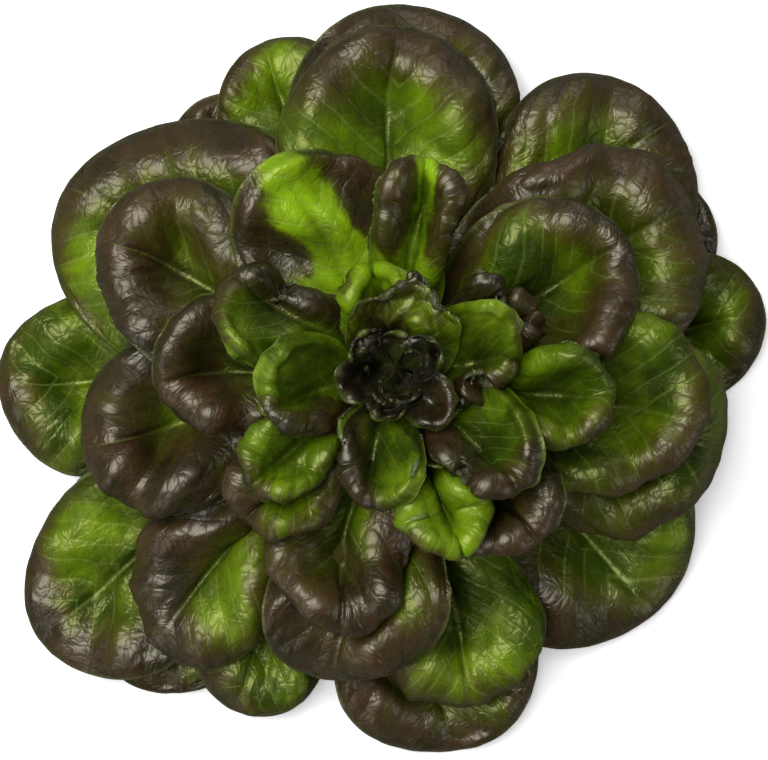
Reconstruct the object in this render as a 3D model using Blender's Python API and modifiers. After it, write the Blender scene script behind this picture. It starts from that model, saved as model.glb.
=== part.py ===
"""Builds an open butterhead lettuce: a cut stem, 41 separate leaves and the fused heart.

The head stands on its cut stem with the growth axis along Z, the origin in the middle of the cut.
Every leaf is a plan outline laid on its own layer of a nested family of bowls, so that a leaf
nearer the heart always lies above the ones outside it. Lengths below are millimetres.
"""
import math

import bmesh
import bpy
import numpy as np

MM = 0.001

# The stem: radius against height, from the cut up to where the heart begins.
STEM_PROFILE = (
    (13.2, 0.0), (14.0, 1.0), (13.9, 4.0), (13.3, 9.0), (11.9, 18.0),
    (10.2, 26.5), (9.0, 31.5), (7.9, 38.0), (6.7, 46.0))
STEM_SIDES = 20
WELD = 0.01

# One line per layer, from the ground leaves (0) to the heart (1): where on that scale, height
# and radius of the leaf root, how far the bowl climbs, over what distance, and its droop at
# DROOP_AT from the axis.
LAYER_AT = (0.00, 0.12, 0.30, 0.50, 0.75, 1.00)
ROOT_HEIGHT = (4.0, 9.0, 17.0, 27.0, 38.0, 50.0)
ROOT_RADIUS = (14.9, 14.3, 12.9, 10.9, 7.9, 4.4)
CLIMB = (15.0, 24.0, 38.0, 46.0, 50.0, 38.0)
CLIMB_OVER = (26.0, 34.0, 36.0, 29.0, 20.0, 8.0)
DROOP = (22.0, 25.0, 23.0, 15.0, 8.0, 4.0)
DROOP_AT = 120.0

# What the leaves of one ring share: depth of the bowl across a leaf and of the crease along its
# midrib, width of the rim that rolls under and by how many degrees, height of the waves, half
# width of the leaf's root, how far its middle stays from the middle of a leaf it rests on, rows
# and columns of the grid. A leaf of its own kind may also lean to one side, roll further there
# (lopsided) or over a wider band (broad), or be swept round at its root.
RINGS = {
    "outer": dict(
        bowl=9.0, fold=7.0, band=22.0, curl=50.0, waves=5.0, foot=11.0, clear=1.6, rows=7, cols=9),
    "middle": dict(
        bowl=14.0, fold=9.0, band=24.0, curl=64.0, waves=5.6, foot=10.0, clear=1.6, rows=7, cols=9),
    "upper": dict(
        bowl=15.0, fold=9.0, band=19.0, curl=88.0, waves=5.0, foot=8.0, clear=1.5, rows=6, cols=8),
    "inner": dict(
        bowl=12.0, fold=9.0, band=12.0, curl=108.0, waves=3.6, foot=3.9, clear=1.35, rows=6, cols=8),
    "heart": dict(
        bowl=6.0, fold=3.0, band=4.0, curl=60.0, waves=1.6, foot=2.4, clear=1.8, rows=4, cols=5),
}

# Ring, azimuth of the tip in degrees, reach from the axis, half width, layer, and what is
# particular to that leaf. The order is the order in which the leaves lie on one another.
LEAVES = (
    ("outer", 127.0, 113.5, 26.0, 0.00, {}),
    ("outer", 27.0, 123.0, 26.0, 0.00, {}),
    ("outer", 230.0, 142.0, 23.0, 0.02, {}),
    ("outer", 112.0, 122.0, 25.0, 0.04, {}),
    ("outer", 244.0, 131.0, 24.0, 0.06, {}),
    ("outer", 7.5, 129.5, 27.0, 0.03, {}),
    ("outer", 182.0, 138.0, 32.0, 0.04, dict(lopsided=0.3)),
    ("outer", 279.0, 137.0, 35.0, 0.06, dict(lopsided=-0.2)),
    ("outer", 317.5, 124.5, 43.0, 0.06, dict(fold=8.0, curl=45.0)),
    ("outer", 86.0, 127.5, 41.0, 0.10, dict(lopsided=0.3)),
    ("outer", 216.5, 154.0, 35.0, 0.10, dict(lopsided=0.35)),
    ("outer", 42.0, 131.0, 38.0, 0.12, dict(lopsided=-0.3)),
    ("outer", 150.0, 127.5, 46.0, 0.15, {}),
    ("middle", 90.5, 116.0, 38.0, 0.20, dict(fold=11.0)),
    ("middle", 283.0, 120.0, 27.0, 0.19, dict(fold=12.0)),
    ("middle", 228.5, 125.0, 27.0, 0.20, {}),
    ("middle", 345.0, 117.0, 37.0, 0.24, {}),
    ("middle", 194.0, 110.0, 31.0, 0.27, {}),
    ("middle", 259.0, 110.5, 31.0, 0.29, dict(lopsided=0.2)),
    ("middle", 30.5, 117.0, 38.0, 0.31, dict(lopsided=-0.25)),
    ("middle", 156.5, 108.5, 31.0, 0.34, dict(fold=9.0)),
    ("upper", 349.0, 101.0, 30.5, 0.40, dict(lopsided=0.25)),
    ("upper", 257.0, 89.0, 25.0, 0.42, dict(bowl=14.0, sweep=12.0, broad=-0.35)),
    ("upper", 27.5, 87.5, 30.0, 0.46, dict(lopsided=0.3, broad=-0.3)),
    ("upper", 183.0, 79.0, 25.0, 0.47, dict(bowl=17.0, broad=-0.4, lopsided=-0.4, band=20.0)),
    ("upper", 225.0, 71.0, 16.0, 0.51, {}),
    ("upper", 119.0, 79.5, 32.0, 0.50, dict(fold=-24.0, bowl=1.0, band=10.0, curl=50.0, waves=4.4)),
    ("upper", 310.0, 74.0, 22.0, 0.53, dict(bowl=18.0, broad=-0.3, lean=-0.2)),
    ("upper", 350.0, 72.0, 16.0, 0.57, dict(waves=7.0, band=9.0)),
    ("upper", 81.5, 69.5, 13.0, 0.58, dict(band=12.0, lopsided=0.5)),
    ("upper", 289.0, 64.0, 14.0, 0.59, dict(waves=6.5, band=8.0, fold=12.0)),
    ("inner", 218.0, 61.0, 14.0, 0.60, dict(waves=6.5, band=8.0, fold=12.0)),
    ("inner", 152.5, 61.5, 15.0, 0.60, dict(band=14.0, broad=0.6, lopsided=0.6, lean=-0.2, fold=8.0)),
    ("inner", 21.0, 50.0, 8.0, 0.65, dict(fold=14.0, bowl=4.0)),
    ("inner", 35.0, 45.0, 8.0, 0.70, dict(fold=14.0, bowl=4.0)),
    ("inner", 316.0, 56.0, 18.0, 0.66, dict(band=14.0, broad=0.6, lopsided=0.6, lean=-0.2)),
    ("inner", 197.5, 47.0, 17.0, 0.67, dict(broad=-0.6, lopsided=-0.6, band=11.0, waves=3.8, lean=0.2)),
    ("inner", 256.0, 45.0, 14.0, 0.72, dict(broad=0.5, lopsided=0.6, band=10.0, lean=-0.2, waves=3.6)),
    ("inner", 4.0, 40.5, 14.5, 0.76, dict(broad=0.7, lopsided=0.6, band=10.0, lean=-0.25)),
    ("inner", 102.0, 35.5, 13.0, 0.72, dict(waves=6.0, bowl=8.0, band=7.0)),
    ("inner", 78.0, 25.0, 14.0, 0.78, dict(foot=3.2, bowl=7.0, band=9.0, waves=3.2)),
    ("heart", 315.0, 25.0, 9.0, 0.82, {}),
    ("heart", 200.0, 21.0, 8.0, 0.82, {}),
    ("heart", 255.0, 18.0, 7.0, 0.85, {}),
    ("heart", 145.0, 17.0, 7.0, 0.85, {}),
    ("heart", 20.0, 16.0, 7.0, 0.87, {}),
    ("heart", 285.0, 12.5, 5.5, 0.91, {}),
    ("heart", 90.0, 12.0, 5.0, 0.91, {}),
    ("heart", 190.0, 10.0, 4.5, 0.95, dict(curl=25.0)),
)

# Between these shares of its length a leaf goes over from the plain stalk to the shaped blade.
BLADE_FROM = 0.15
BLADE_FULL = 0.6
# How unevenly the rim rolls, twice round the leaf.
ROLL_UNEVEN = 0.22
ROLL_LEAST = 0.02
# The levels about which bowl and crease rise and fall, how far out the bowl's wall ends, and how
# round the crease's bottom is.
BOWL_LEVEL = 0.35
BOWL_FULL = 0.72
CREASE_LEVEL = 0.14
CREASE_ROUND = 0.02
# Every blade leans a little to one side, and its plan is bent by a share of its radius.
LEAN_ANY = 0.18
WARP = 0.05
WARP_OFTEN = 2.4
# Waves of the rim: how often for each radian round the leaf, and how high for their share.
RIM_WAVES = ((2.3, 1.0), (3.9, 0.7))
# Low swells of the whole blade: share of the waves' height, and lengths across and along.
SWELL = 0.5
SWELL_ACROSS = 9.0
SWELL_ALONG = 12.0
# The grid's rows and columns stand closer together towards the rim.
ROWS_CLOSER = 1.5
COLS_CLOSER = 1.25

LEAF_THICK = 0.8
GROUND_CLEARANCE = 0.8
# The raster on which the height of what already lies there is kept.
CELL = 0.7
RASTER_HALF = 260
STEEPEST = 4.0
# Places tried along each side of a cell of a leaf's grid.
TRIED = 21
# A leaf is lifted in rounds, each by a share of what is missing, until less than this is.
SETTLE_ROUNDS = 30
EACH_ROUND = 0.7
LEFT_SHORT = 0.03
LIFT_SOFTENED = 4

# The core the heart's leaves grow from: radius against height.
CORE_PROFILE = ((6.2, 46.4), (6.2, 56.0), (5.9, 65.0), (4.6, 71.0), (1.8, 74.5))
CORE_SIDES = 10
# How far from the axis, and between what heights, the roots of the heart's leaves end in the core,
# and what the rest of those leaves stays above, clear of the stem.
SUNK_ROOT = 1.8
SUNK_LOWEST = 49.0
SUNK_HIGHEST = 68.0
HEART_LOWEST = 47.4
# A root that settled above a thinner part of the stem is drawn in to this far from its side, but
# never nearer the axis than this, where the heart's leaves need the room.
ROOT_OFF = 0.95
ROOT_NEAREST = 8.2
DRAWN_MOST = 3.0
# How much of that the first rows of a leaf follow.
ROOT_FOLLOW = (1.0, 0.4, 0.1)

SEED = 700
UNLIKE = 0.28

COLOURS = {
    "stem": (0.62, 0.66, 0.42, 1.0),
    "outer": (0.075, 0.115, 0.025, 1.0),
    "middle": (0.070, 0.080, 0.026, 1.0),
    "upper": (0.065, 0.060, 0.026, 1.0),
    "inner": (0.110, 0.160, 0.030, 1.0),
    "heart": (0.070, 0.060, 0.022, 1.0),
}
LEAF_ROUGHNESS = 0.42
STEM_ROUGHNESS = 0.6


def ease(start, end, value):
    """Goes smoothly from 0 at start to 1 at end."""
    t = np.clip((np.asarray(value, float) - start) / (end - start), 0.0, 1.0)
    return t * t * (3.0 - 2.0 * t)


def layer_height(layer, radius):
    """Height of one nested bowl at a distance from the axis, and its slope there."""
    root_h, root_r, climb, over, droop = (
        np.interp(layer, LAYER_AT, line) for line in (ROOT_HEIGHT, ROOT_RADIUS, CLIMB, CLIMB_OVER, DROOP))
    out = np.maximum(radius - root_r, -1.0)
    fade = np.exp(-out / over)
    height = root_h + climb * (1.0 - fade) - droop * (radius / DROOP_AT) ** 2
    slope = climb / over * fade - 2.0 * droop * radius / DROOP_AT ** 2
    return height, slope


def describe(number, ring, azimuth, reach, half, layer, own):
    """Collects what one leaf is made from, with the outline of its unrolled blade."""
    leaf = dict(RINGS[ring], sweep=0.0, lopsided=0.0, lean=0.0, broad=0.0)
    leaf.update(own)
    leaf.update(ring=ring, azimuth=azimuth, layer=layer)
    drawn = np.random.default_rng(SEED + number)
    leaf["phase"] = drawn.uniform(0.0, 2.0 * math.pi, 5)
    for name in ("bowl", "fold", "curl", "waves"):
        leaf[name] = leaf[name] * drawn.uniform(1.0 - UNLIKE, 1.0 + UNLIKE)
    root = float(np.interp(layer, LAYER_AT, ROOT_RADIUS))
    turn = math.radians(leaf["curl"])
    rolled = leaf["band"] / turn
    hidden = leaf["band"] - rolled * math.sin(min(turn, math.pi / 2.0))
    leaf["root"] = root
    leaf["round"] = half + hidden
    leaf["centre"] = reach + hidden - leaf["round"]
    leaf["length"] = reach + hidden - root
    # The two straight sides run from the corners of the root to where they touch the round.
    foot = min(leaf["foot"], root * 0.95)
    corner_y = math.sqrt(root ** 2 - foot ** 2)
    far = math.hypot(foot, leaf["centre"] - corner_y)
    to_corner = math.atan2(foot, corner_y - leaf["centre"])
    widest = to_corner - math.acos(min(leaf["round"], far * 0.97) / far)
    leaf["widest"] = widest
    leaf["foot_turn"] = math.asin(foot / root)
    leaf["corner"] = foot, corner_y
    leaf["touch"] = leaf["round"] * math.sin(widest), leaf["centre"] + leaf["round"] * math.cos(widest)
    return leaf


def blade(leaf, u, v):
    """Place on the flat blade, distance in from its margin, and the way out to the margin."""
    around = v * leaf["widest"]
    rim_x, rim_y = leaf["round"] * np.sin(around), leaf["centre"] + leaf["round"] * np.cos(around)
    at_root = v * leaf["foot_turn"]
    root_x, root_y = leaf["root"] * np.sin(at_root), leaf["root"] * np.cos(at_root)
    x, y = root_x + u * (rim_x - root_x), root_y + u * (rim_y - root_y)
    side = np.where(x < 0.0, -1.0, 1.0)
    touch_x, touch_y = leaf["touch"]
    run_x, run_y = touch_x - leaf["corner"][0], touch_y - leaf["corner"][1]
    run = math.hypot(run_x, run_y)
    run_x, run_y = run_x / run, run_y / run
    along = (np.abs(x) - touch_x) * run_x + (y - touch_y) * run_y
    off = (touch_x - np.abs(x)) * run_y - (touch_y - y) * run_x
    spoke = np.hypot(x, y - leaf["centre"]) + 1e-9
    straight = (along < 0.0) & (off < leaf["round"])
    margin = np.where(straight, off, leaf["round"] - spoke)
    out_x = np.where(straight, run_y * side, x / spoke)
    out_y = np.where(straight, -run_x, (y - leaf["centre"]) / spoke)
    return x, y, np.maximum(margin, 0.0), out_x, out_y, np.arctan2(x, y - leaf["centre"])


def leaf_surface(leaf, u, v):
    """Middle surface of a leaf before it settles, and how much a lift grows with the slope."""
    x, y, margin, out_x, out_y, around = blade(leaf, u, v)
    along = (y - leaf["root"]) / leaf["length"]
    blade_part = ease(BLADE_FROM, BLADE_FULL, along)
    near_rim = np.clip(1.0 - margin / leaf["round"], 0.0, 1.0)

    # The rim rolls out and under about a circle, here more and there less.
    first, second, third, fourth, fifth = leaf["phase"]
    uneven = 1.0 + leaf["lopsided"] * np.sin(around) + ROLL_UNEVEN * np.sin(2.0 * around + fifth)
    turn = math.radians(leaf["curl"]) * blade_part * uneven
    turn = np.where(np.abs(turn) < ROLL_LEAST, ROLL_LEAST, turn)
    band = leaf["band"] * (1.0 + leaf["broad"] * np.sin(around))
    rolled = band / turn
    share = np.clip(1.0 - margin / band, 0.0, 1.0)
    drawn_in = band * share - rolled * np.sin(turn * share)
    height = -rolled * (1.0 - np.cos(turn * share))
    x = x - out_x * drawn_in
    y = y - out_y * drawn_in
    bent = WARP * leaf["round"] * blade_part
    x, y = (x + bent * np.sin(y / leaf["round"] * WARP_OFTEN + fourth),
            y + bent * np.sin(x / leaf["round"] * WARP_OFTEN + first))

    # The bowl across the leaf, the crease along its midrib and the waves.
    crease = np.sqrt((x / leaf["round"]) ** 2 + CREASE_ROUND) - CREASE_LEVEL
    rim_wave = sum(high * np.sin(often * around + start)
                   for (often, high), start in zip(RIM_WAVES, (first, second)))
    swell = SWELL * np.sin(x / SWELL_ACROSS + third) * np.sin(y / SWELL_ALONG + fourth)
    shaped = leaf["bowl"] * (ease(0.0, BOWL_FULL, near_rim) - BOWL_LEVEL) + leaf["fold"] * crease
    shaped = shaped + x * (leaf["lean"] + LEAN_ANY * math.sin(third))
    shaped = shaped + leaf["waves"] * (near_rim ** 2 * rim_wave + swell)

    swept = leaf["sweep"] * (1.0 - np.clip(along, 0.0, 1.0)) ** 2 * np.sqrt(blade_part)
    heading = np.radians(leaf["azimuth"] - swept)
    layer, slope = layer_height(leaf["layer"], np.hypot(x, y))
    plan_x = y * np.cos(heading) + x * np.sin(heading)
    plan_y = y * np.sin(heading) - x * np.cos(heading)
    steep = np.minimum(np.sqrt(1.0 + slope ** 2), STEEPEST)
    return np.stack([plan_x, plan_y, layer + height + shaped * blade_part], -1), steep


def leaf_grid(rows, cols):
    """Grid of (u, v) closer together near the rim."""
    u = 1.0 - (1.0 - np.linspace(0.0, 1.0, rows + 1)) ** ROWS_CLOSER
    v = np.sin(np.linspace(-1.0, 1.0, cols + 1) * COLS_CLOSER) / math.sin(COLS_CLOSER)
    return np.meshgrid(u, v, indexing="ij")


def between(places, count):
    """Places close together on the two triangles of every cell of a leaf's grid."""
    a, b, c, d = places[:-1, :-1], places[:-1, 1:], places[1:, 1:], places[1:, :-1]
    steps = np.linspace(0.0, 1.0, count)
    p, q = (side[..., None, None, None] for side in np.meshgrid(steps, steps, indexing="ij"))
    return np.where(q <= p, a + p * (d - a) + q * (c - d), a + q * (b - a) + p * (c - b))


def raster_cell(places):
    """Row and column of the raster under each place."""
    cell = np.clip((places[..., :2] / CELL + RASTER_HALF).astype(int), 0, 2 * RASTER_HALF - 1)
    return cell[..., 0], cell[..., 1]


def soften(field):
    """Each value drawn towards its neighbours."""
    wide = np.pad(field, 1, mode="edge")
    around = wide[:-2, 1:-1] + wide[2:, 1:-1] + wide[1:-1, :-2] + wide[1:-1, 2:]
    return (wide[1:-1, 1:-1] * 2.0 + around) / 6.0


def draw_in_root(leaf):
    """Moves the root of a leaf in to the stem, or sinks it in the core in the heart."""
    radii, heights = zip(*STEM_PROFILE, *CORE_PROFILE)
    places = leaf["places"]
    far = np.hypot(places[0, :, 0], places[0, :, 1])
    wanted = np.maximum(np.interp(places[0, :, 2], heights, radii) + ROOT_OFF, ROOT_NEAREST)
    if leaf["ring"] == "heart":
        places[..., 2] = np.maximum(places[..., 2], HEART_LOWEST)
        places[0, :, :2] *= (SUNK_ROOT / far)[:, None]
        places[0, :, 2] = np.clip(places[0, :, 2], SUNK_LOWEST, SUNK_HIGHEST)
        return
    for row, share in enumerate(ROOT_FOLLOW):
        spokes = np.hypot(places[row, :, 0], places[row, :, 1])
        drawn = share * np.clip(wanted - far, -DRAWN_MOST, 0.0)
        places[row, :, :2] *= ((spokes + drawn) / spokes)[:, None]


def settle(leaves):
    """Lays the leaves on one another, lifting each softly clear of what is already there."""
    ground = GROUND_CLEARANCE - RINGS["outer"]["clear"]
    top = np.full((2 * RASTER_HALF, 2 * RASTER_HALF), ground)
    for leaf in leaves:
        rows, cols = leaf["rows"], leaf["cols"]
        rest, steep = leaf_surface(leaf, *leaf_grid(rows, cols))
        corners = [steep[:-1, :-1], steep[:-1, 1:], steep[1:, :-1], steep[1:, 1:]]
        cell_steep = np.maximum.reduce(corners)
        lift = np.zeros(steep.shape)
        for _ in range(SETTLE_ROUNDS):
            places = rest.copy()
            places[..., 2] += lift * steep
            close = between(places, TRIED)
            short = top[raster_cell(close)] + leaf["clear"] * cell_steep - close[..., 2]
            short = np.maximum(short, 0.0).max((0, 1)) / cell_steep
            if short.max() < LEFT_SHORT:
                break
            need = np.zeros(steep.shape)
            for i in (0, 1):
                for j in (0, 1):
                    corner = need[i:i + rows, j:j + cols]
                    np.maximum(corner, short, out=corner)
            lift = lift + need * EACH_ROUND
            soft = lift
            for _ in range(LIFT_SOFTENED):
                soft = np.maximum(lift, soften(soft))
            lift = soft
        leaf["places"] = rest
        leaf["places"][..., 2] += lift * steep
        # The heart's leaves are fused, so they need no room between them.
        if leaf["ring"] != "heart":
            close = between(leaf["places"], TRIED)
            np.maximum.at(top, raster_cell(close), close[..., 2])


def material(name, colour, roughness):
    """A plain material of one colour."""
    made = bpy.data.materials.new(name)
    made.use_nodes = True
    shader = made.node_tree.nodes["Principled BSDF"]
    shader.inputs["Base Color"].default_value = colour
    shader.inputs["Roughness"].default_value = roughness
    shader.inputs["Metallic"].default_value = 0.0
    made.diffuse_color = colour
    return made


def add_object(name, mesh, look, collection):
    """Puts a mesh in the scene under a name, shaded smooth and with its material."""
    mesh.name = name
    mesh.shade_smooth()
    mesh.materials.append(look)
    made = bpy.data.objects.new(name, mesh)
    collection.objects.link(made)
    return made


def leaf_object(name, leaf, collection):
    """A leaf as a thin closed body: a grid shaped to the leaf, in triangles, given its thickness."""
    shape = bmesh.new()
    bmesh.ops.create_grid(shape, x_segments=leaf["cols"], y_segments=leaf["rows"], size=1.0)
    shape.verts.ensure_lookup_table()
    for vert, place in zip(shape.verts, leaf["places"].reshape(-1, 3)):
        vert.co = place * MM
    bmesh.ops.reverse_faces(shape, faces=shape.faces)
    bmesh.ops.triangulate(shape, faces=shape.faces, quad_method="FIXED")
    mesh = bpy.data.meshes.new(name)
    shape.to_mesh(mesh)
    shape.free()
    look = material(name, COLOURS[leaf["ring"]], LEAF_ROUGHNESS)
    made = add_object(name, mesh, look, collection)
    thick = made.modifiers.new("thickness", "SOLIDIFY")
    thick.thickness = LEAF_THICK * MM
    thick.offset = 0.0
    thick.use_even_offset = False
    return made


def turned_object(name, profile, sides, look, collection):
    """A closed body turned from (radius, height) pairs that run up its side."""
    outline = [(0.0, profile[-1][1]), *reversed(profile), (0.0, profile[0][1])]
    mesh = bpy.data.meshes.new(name)
    edges = [(k, k + 1) for k in range(len(outline) - 1)]
    mesh.from_pydata([(radius * MM, 0.0, height * MM) for radius, height in outline], edges, [])
    made = add_object(name, mesh, look, collection)
    turned = made.modifiers.new("turned", "SCREW")
    turned.steps = turned.render_steps = sides
    turned.use_merge_vertices = True
    turned.merge_threshold = WELD * MM
    return made


def keep_main_body(mesh):
    """Drops every separate shell but the widest: loose scraps and the walls of sealed hollows."""
    shape = bmesh.new()
    shape.from_mesh(mesh)
    waiting = set(shape.verts)
    shells = []
    while waiting:
        shell = [waiting.pop()]
        for vert in shell:
            for edge in vert.link_edges:
                other = edge.other_vert(vert)
                if other in waiting:
                    waiting.remove(other)
                    shell.append(other)
        shells.append(shell)
    shells.sort(key=len)
    loose = [vert for shell in shells[:-1] for vert in shell]
    bmesh.ops.delete(shape, geom=loose, context="VERTS")
    shape.to_mesh(mesh)
    shape.free()
    return mesh


def fuse(body, others):
    """Joins the other objects into the body with one applied union and removes them."""
    group = bpy.data.collections.new("heart leaves")
    bpy.context.scene.collection.children.link(group)
    for other in others:
        for owner in list(other.users_collection):
            owner.objects.unlink(other)
        group.objects.link(other)
    union = body.modifiers.new("union", "BOOLEAN")
    union.operation = "UNION"
    union.operand_type = "COLLECTION"
    union.collection = group
    # The exact solver leaves open edges where the thin leaves meet.
    union.solver = "MANIFOLD"
    bpy.context.view_layer.update()
    graph = bpy.context.evaluated_depsgraph_get()
    joined = keep_main_body(bpy.data.meshes.new_from_object(body.evaluated_get(graph)))
    body.modifiers.clear()
    old = body.data
    look = old.materials[0]
    body.data = joined
    joined.name = body.name
    joined.shade_smooth()
    joined.materials.clear()
    joined.materials.append(look)
    for face in joined.polygons:
        face.material_index = 0
    bpy.data.meshes.remove(old)
    for other in others:
        bpy.data.objects.remove(other)
    bpy.data.collections.remove(group)


def build():
    """Makes the whole head in a collection of its own."""
    for old in list(bpy.data.objects):
        bpy.data.objects.remove(old)
    head = bpy.data.collections.new("butterhead_lettuce")
    bpy.context.scene.collection.children.link(head)

    leaves = [describe(number, *line) for number, line in enumerate(LEAVES)]
    settle(leaves)
    for leaf in leaves:
        draw_in_root(leaf)

    stem_look = material("stem", COLOURS["stem"], STEM_ROUGHNESS)
    turned_object("stem", STEM_PROFILE, STEM_SIDES, stem_look, head)
    counts = {}
    small = []
    for leaf in leaves:
        ring = leaf["ring"]
        counts[ring] = counts.get(ring, 0) + 1
        made = leaf_object(f"leaf_{ring}_{counts[ring]:02d}", leaf, head)
        if ring == "heart":
            small.append(made)
    heart_look = material("heart", COLOURS["heart"], LEAF_ROUGHNESS)
    heart = turned_object("heart", CORE_PROFILE, CORE_SIDES, heart_look, head)
    fuse(heart, small)


build()
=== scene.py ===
# %% [markdown]
# # An open head of butterhead lettuce
#
# A butterhead is a rosette: every leaf grows from one short stem, and the younger a leaf is,
# the nearer to the middle and the higher up it starts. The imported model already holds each
# leaf as a coarse solid. Here each of them is swapped for a fine one on the same rule, with
# ribs, quilted skin and colour, which lies where the model has the coarse one.

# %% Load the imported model
import math

import bmesh
import bpy
import numpy as np
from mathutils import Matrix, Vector


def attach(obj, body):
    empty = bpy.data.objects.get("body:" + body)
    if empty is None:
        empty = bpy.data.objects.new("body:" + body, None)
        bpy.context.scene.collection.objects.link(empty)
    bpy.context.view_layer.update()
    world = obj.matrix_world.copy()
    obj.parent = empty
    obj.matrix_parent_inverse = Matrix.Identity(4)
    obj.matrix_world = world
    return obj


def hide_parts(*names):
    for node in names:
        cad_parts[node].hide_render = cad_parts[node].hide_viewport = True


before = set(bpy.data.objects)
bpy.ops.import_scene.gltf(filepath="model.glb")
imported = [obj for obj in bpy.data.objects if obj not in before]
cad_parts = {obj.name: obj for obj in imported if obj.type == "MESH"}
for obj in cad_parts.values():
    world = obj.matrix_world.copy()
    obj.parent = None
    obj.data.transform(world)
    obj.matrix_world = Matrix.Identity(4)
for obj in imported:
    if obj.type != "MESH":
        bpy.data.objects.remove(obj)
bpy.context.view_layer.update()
MM = 0.001
print("packed nodes:", len(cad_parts))

# %% [markdown]
# ## The rule that lays out the leaves
#
# A leaf could be sculpted by hand, but forty of them that rest on one another without
# touching are easier to work out. Each leaf is a flat outline, a round blade on a wedge,
# laid on its own layer in a nest of bowls. The rim then rolls under, the blade gets its bowl,
# its crease and its waves. These are the model's own numbers, in millimetres and degrees.

# %% The nest of bowls and the rings of leaves
LAYER_AT = (0.00, 0.12, 0.30, 0.50, 0.75, 1.00)
ROOT_HEIGHT = (4.0, 9.0, 17.0, 27.0, 38.0, 50.0)
ROOT_RADIUS = (14.9, 14.3, 12.9, 10.9, 7.9, 4.4)
CLIMB = (15.0, 24.0, 38.0, 46.0, 50.0, 38.0)
CLIMB_OVER = (26.0, 34.0, 36.0, 29.0, 20.0, 8.0)
DROOP = (22.0, 25.0, 23.0, 15.0, 8.0, 4.0)
DROOP_AT = 120.0

# Bowl across the leaf, crease along its midrib, width of the rim and how far it rolls under,
# height of the waves, half width of the root, room over the leaf below, and the model's rows
# and columns.
RINGS = {
    "outer": dict(
        bowl=9.0, fold=7.0, band=22.0, curl=50.0, waves=5.0, foot=11.0, clear=1.6, rows=7, cols=9),
    "middle": dict(
        bowl=14.0, fold=9.0, band=24.0, curl=64.0, waves=5.6, foot=10.0, clear=1.6, rows=7, cols=9),
    "upper": dict(
        bowl=15.0, fold=9.0, band=19.0, curl=88.0, waves=5.0, foot=8.0, clear=1.5, rows=6, cols=8),
    "inner": dict(
        bowl=12.0, fold=9.0, band=12.0, curl=108.0, waves=3.6, foot=3.9, clear=1.35, rows=6, cols=8),
    "heart": dict(
        bowl=6.0, fold=3.0, band=4.0, curl=60.0, waves=1.6, foot=2.4, clear=1.8, rows=4, cols=5),
}

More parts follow.
